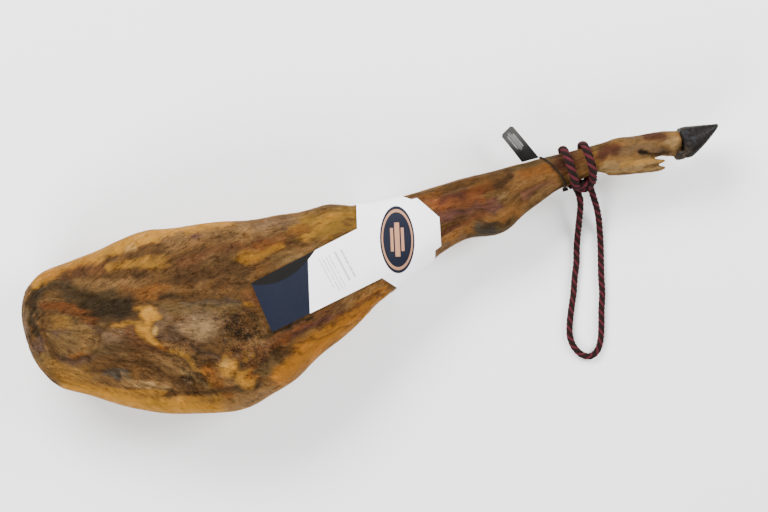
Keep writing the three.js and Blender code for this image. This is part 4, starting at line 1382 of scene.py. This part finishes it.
STRAP = {"foot": 634.3, "foot_v": -22.0, "bow": 0.0113, "wide": 0.95, "thick": 0.7, "gap": 1.25}
STRAP_POINTS = 120
STRAP_SIDES = 14
STRAP_PASSES = 6
FLAG_CORNERS = [(595.3, 19.5, 41.8), (615.4, 19.5, 41.8), (594.9, 63.8, 46.4), (579.6, 55.4, 45.6)]
FLAG_THICK = 0.45
FLAG_STEPS = (20, 44)
FLAG_PRINT = {
    "soft": (0.02, 0.02), "apart": 9.0, "words": 26.0, "gaps": (0.4, 0.46),
    "bars": [
        (0.3, 0.035, 0.4, 0.86), (0.44, 0.02, 0.34, 0.92), (0.55, 0.02, 0.34, 0.9),
        (0.68, 0.035, 0.4, 0.84),
    ],
}
LOCK = {"length": 6.4, "width": 4.2, "height": 4.0, "turn": 183, "drop": 1.4, "bevel": 0.7}


def plastic_look():
    look = Look("seal_plastic")
    mottle = look.noise(look.place(), 260.0, detail=4.0)
    fine = look.noise(look.place(), 1500.0, detail=3.0)
    colour = look.mix(mottle, (0.006, 0.005, 0.004), (0.018, 0.0125, 0.008))
    look.set(Base_Color=colour, Roughness=look.ramp(mottle, 0.3, 0.7, 0.4, 0.52), Specular_IOR_Level=0.04)
    look.set(Normal=look.bump(look.plus(mottle, fine), 0.15, 0.0004))
    return look.material


def strap_line(tree, lift, count):
    """Points round the ankle, just off the skin, along a slightly bowed line."""
    points = []
    for angle in np.linspace(0, 2 * math.pi, count, endpoint=False):
        u = STRAP["foot"]
        for _ in range(4):
            way = Vector((0, math.cos(angle), math.sin(angle)))
            hit = to_leg(tree.ray_cast(Vector(to_frame(axis_point(u))), way)[0])
            u = STRAP["foot"] - STRAP["bow"] * (hit[1] - STRAP["foot_v"]) ** 2
        points.append(hit + np.array(way) * lift)
    return np.array(points)


def make_strap(look):
    line = strap_line(skin_tree(), STRAP["gap"], STRAP_POINTS)
    for _ in range(STRAP_PASSES):
        line = evened(line, 0)
    along = unit(np.roll(line, -1, axis=0) - np.roll(line, 1, axis=0))
    out = line - line.mean(axis=0)
    out = unit(out - along * np.sum(out * along, axis=1)[:, None])
    side = np.cross(along, out)
    turn = np.linspace(0, 2 * math.pi, STRAP_SIDES, endpoint=False)
    wide = STRAP["wide"] * np.sign(np.cos(turn)) * np.abs(np.cos(turn)) ** 0.6
    thick = STRAP["thick"] * np.sign(np.sin(turn)) * np.abs(np.sin(turn)) ** 0.6
    rings = [p + np.outer(wide, s) + np.outer(thick, o) for p, s, o in zip(line, side, out)]
    strap = mesh_object("seal_strap", np.vstack(rings), ring_faces(len(rings), STRAP_SIDES, closed=True))
    finish_piece(strap, look, "seal")
    return line


def make_lock(look, line):
    at = line[int(round(LOCK["turn"] / 360 * len(line)))] - np.array([0, LOCK["drop"], 0])
    bm = bmesh.new()
    made = bmesh.ops.create_cube(bm, size=1.0)
    size = (LOCK["length"] * MM, LOCK["width"] * MM, LOCK["height"] * MM)
    bmesh.ops.scale(bm, verts=made["verts"], vec=size)
    bmesh.ops.bevel(bm, geom=bm.edges[:], offset=LOCK["bevel"] * MM, segments=3, affect="EDGES", profile=0.6)
    top = [f for f in bm.faces if f.calc_area() > 8e-6 and abs(f.normal.y) > 0.9]
    bmesh.ops.inset_individual(bm, faces=top, thickness=0.6 * MM, depth=-0.35 * MM)
    bmesh.ops.translate(bm, verts=bm.verts[:], vec=Vector(to_frame(at)))
    mesh = bpy.data.meshes.new("seal_lock")
    bm.to_mesh(mesh)
    bm.free()
    mesh.shade_smooth()
    mesh.set_sharp_from_angle(angle=math.radians(40))
    finish_piece(placed("seal_lock", mesh), look, "seal")


def flag_look():
    look = Look("seal_flag")
    parts = look.add("SeparateXYZ", {0: look.attribute("flag", "Vector")})
    across, along = parts.outputs[0], parts.outputs[1]
    mottle = look.noise(look.place(), 170.0, detail=4.0)
    scratch = look.noise(look.attribute("flag", "Vector"), (60.0, 5.0, 1.0), detail=3.0)
    sheen = look.plus(look.ramp(along, 0.25, 0.85), look.times(mottle, 0.25))
    colour = look.mix(sheen, (0.004, 0.004, 0.004), (0.042, 0.040, 0.038))
    ink = printed_bars(look, across, along, FLAG_PRINT)
    colour = look.mix(look.times(ink, 0.75), colour, (0.22, 0.22, 0.21))
    look.set(Base_Color=colour, Roughness=look.ramp(scratch, 0.3, 0.7, 0.26, 0.4), Specular_IOR_Level=0.15)
    look.set(Normal=look.bump(look.plus(scratch, mottle), 0.12, 0.0004))
    return look.material


def make_flag():
    """A thin flat strip that leaves the strap at the shin, with rounded far corners and a slight bow."""
    corners = np.array(FLAG_CORNERS, float)
    wide, long = FLAG_STEPS
    grid, places = [], []
    for j in range(long + 1):
        t = j / long
        for i in range(wide + 1):
            w = i / wide
            near = corners[0] + w * (corners[1] - corners[0])
            far = corners[3] + w * (corners[2] - corners[3])
            trim = 0.05 * ramp(abs(2 * w - 1), 0.72, 1.0)
            point = near + (t - trim * ramp(t, 0.8, 1.0)) * (far - near)
            bow = 1.4 * math.sin(math.pi * t) + 0.5 * math.sin(math.pi * w)
            grid.append(point + np.array([0, 0, bow - 0.7]))
            places.append((w, t, 0))
    count = len(grid)
    half = np.array([0, 0, FLAG_THICK / 2])
    points = np.vstack([grid + half, grid - half])
    faces = []
    for j in range(long):
        for i in range(wide):
            a = j * (wide + 1) + i
            b, c, d = a + 1, a + wide + 2, a + wide + 1
            faces += [(a, b, c, d), (count + d, count + c, count + b, count + a)]
    rim = list(range(wide + 1))
    rim += [j * (wide + 1) + wide for j in range(1, long + 1)]
    rim += [long * (wide + 1) + i for i in range(wide - 1, -1, -1)]
    rim += [j * (wide + 1) for j in range(long - 1, 0, -1)]
    for a, b in zip(rim, rim[1:] + rim[:1]):
        faces.append((b, a, count + a, count + b))
    flag = mesh_object("seal_flag", points, faces)
    flag.data.set_sharp_from_angle(angle=math.radians(50))
    put(flag.data, "flag", np.vstack([places, places]))
    finish_piece(flag, flag_look(), "seal")


def make_seal():
    look = plastic_look()
    line = make_strap(look)
    make_lock(look, line)
    make_flag()


# Floor and light

def make_floor():
    ways = np.array([(-1, -1, 0), (1, -1, 0), (1, 1, 0), (-1, 1, 0)])
    corners = FLOOR_MIDDLE + FLOOR_HALF * ways
    floor = mesh_object("floor", corners, [(0, 1, 2, 3)])
    look = Look("pale_floor")
    grain = look.noise(look.place(), 3.0, detail=2.0)
    look.set(Base_Color=look.mix(grain, (0.87, 0.87, 0.87), (0.9, 0.9, 0.9)), Roughness=0.7)
    floor.data.materials.append(look.material)


def make_light(name, place, size, power):
    data = bpy.data.lights.new(name, "AREA")
    data.shape = "RECTANGLE"
    data.size, data.size_y = size
    data.energy = power
    light = placed(name, data)
    light.location = place
    light.rotation_euler = (-Vector(place)).to_track_quat("-Z", "Y").to_euler()


def make_lights():
    world = bpy.data.worlds.new("studio")
    world.use_nodes = True
    sky = world.node_tree.nodes["Background"]
    sky.inputs[0].default_value = (1, 1, 1, 1)
    sky.inputs[1].default_value = WORLD_LIGHT
    bpy.context.scene.world = world
    for name, place, size, power in LIGHTS:
        make_light(name, place, size, power)


make_camera()
make_floor()
make_lights()
make_ropes()
meat = meat_look()
rings = make_leg(meat)
make_foot(meat)
make_claws()
make_label(rings)
make_seal()
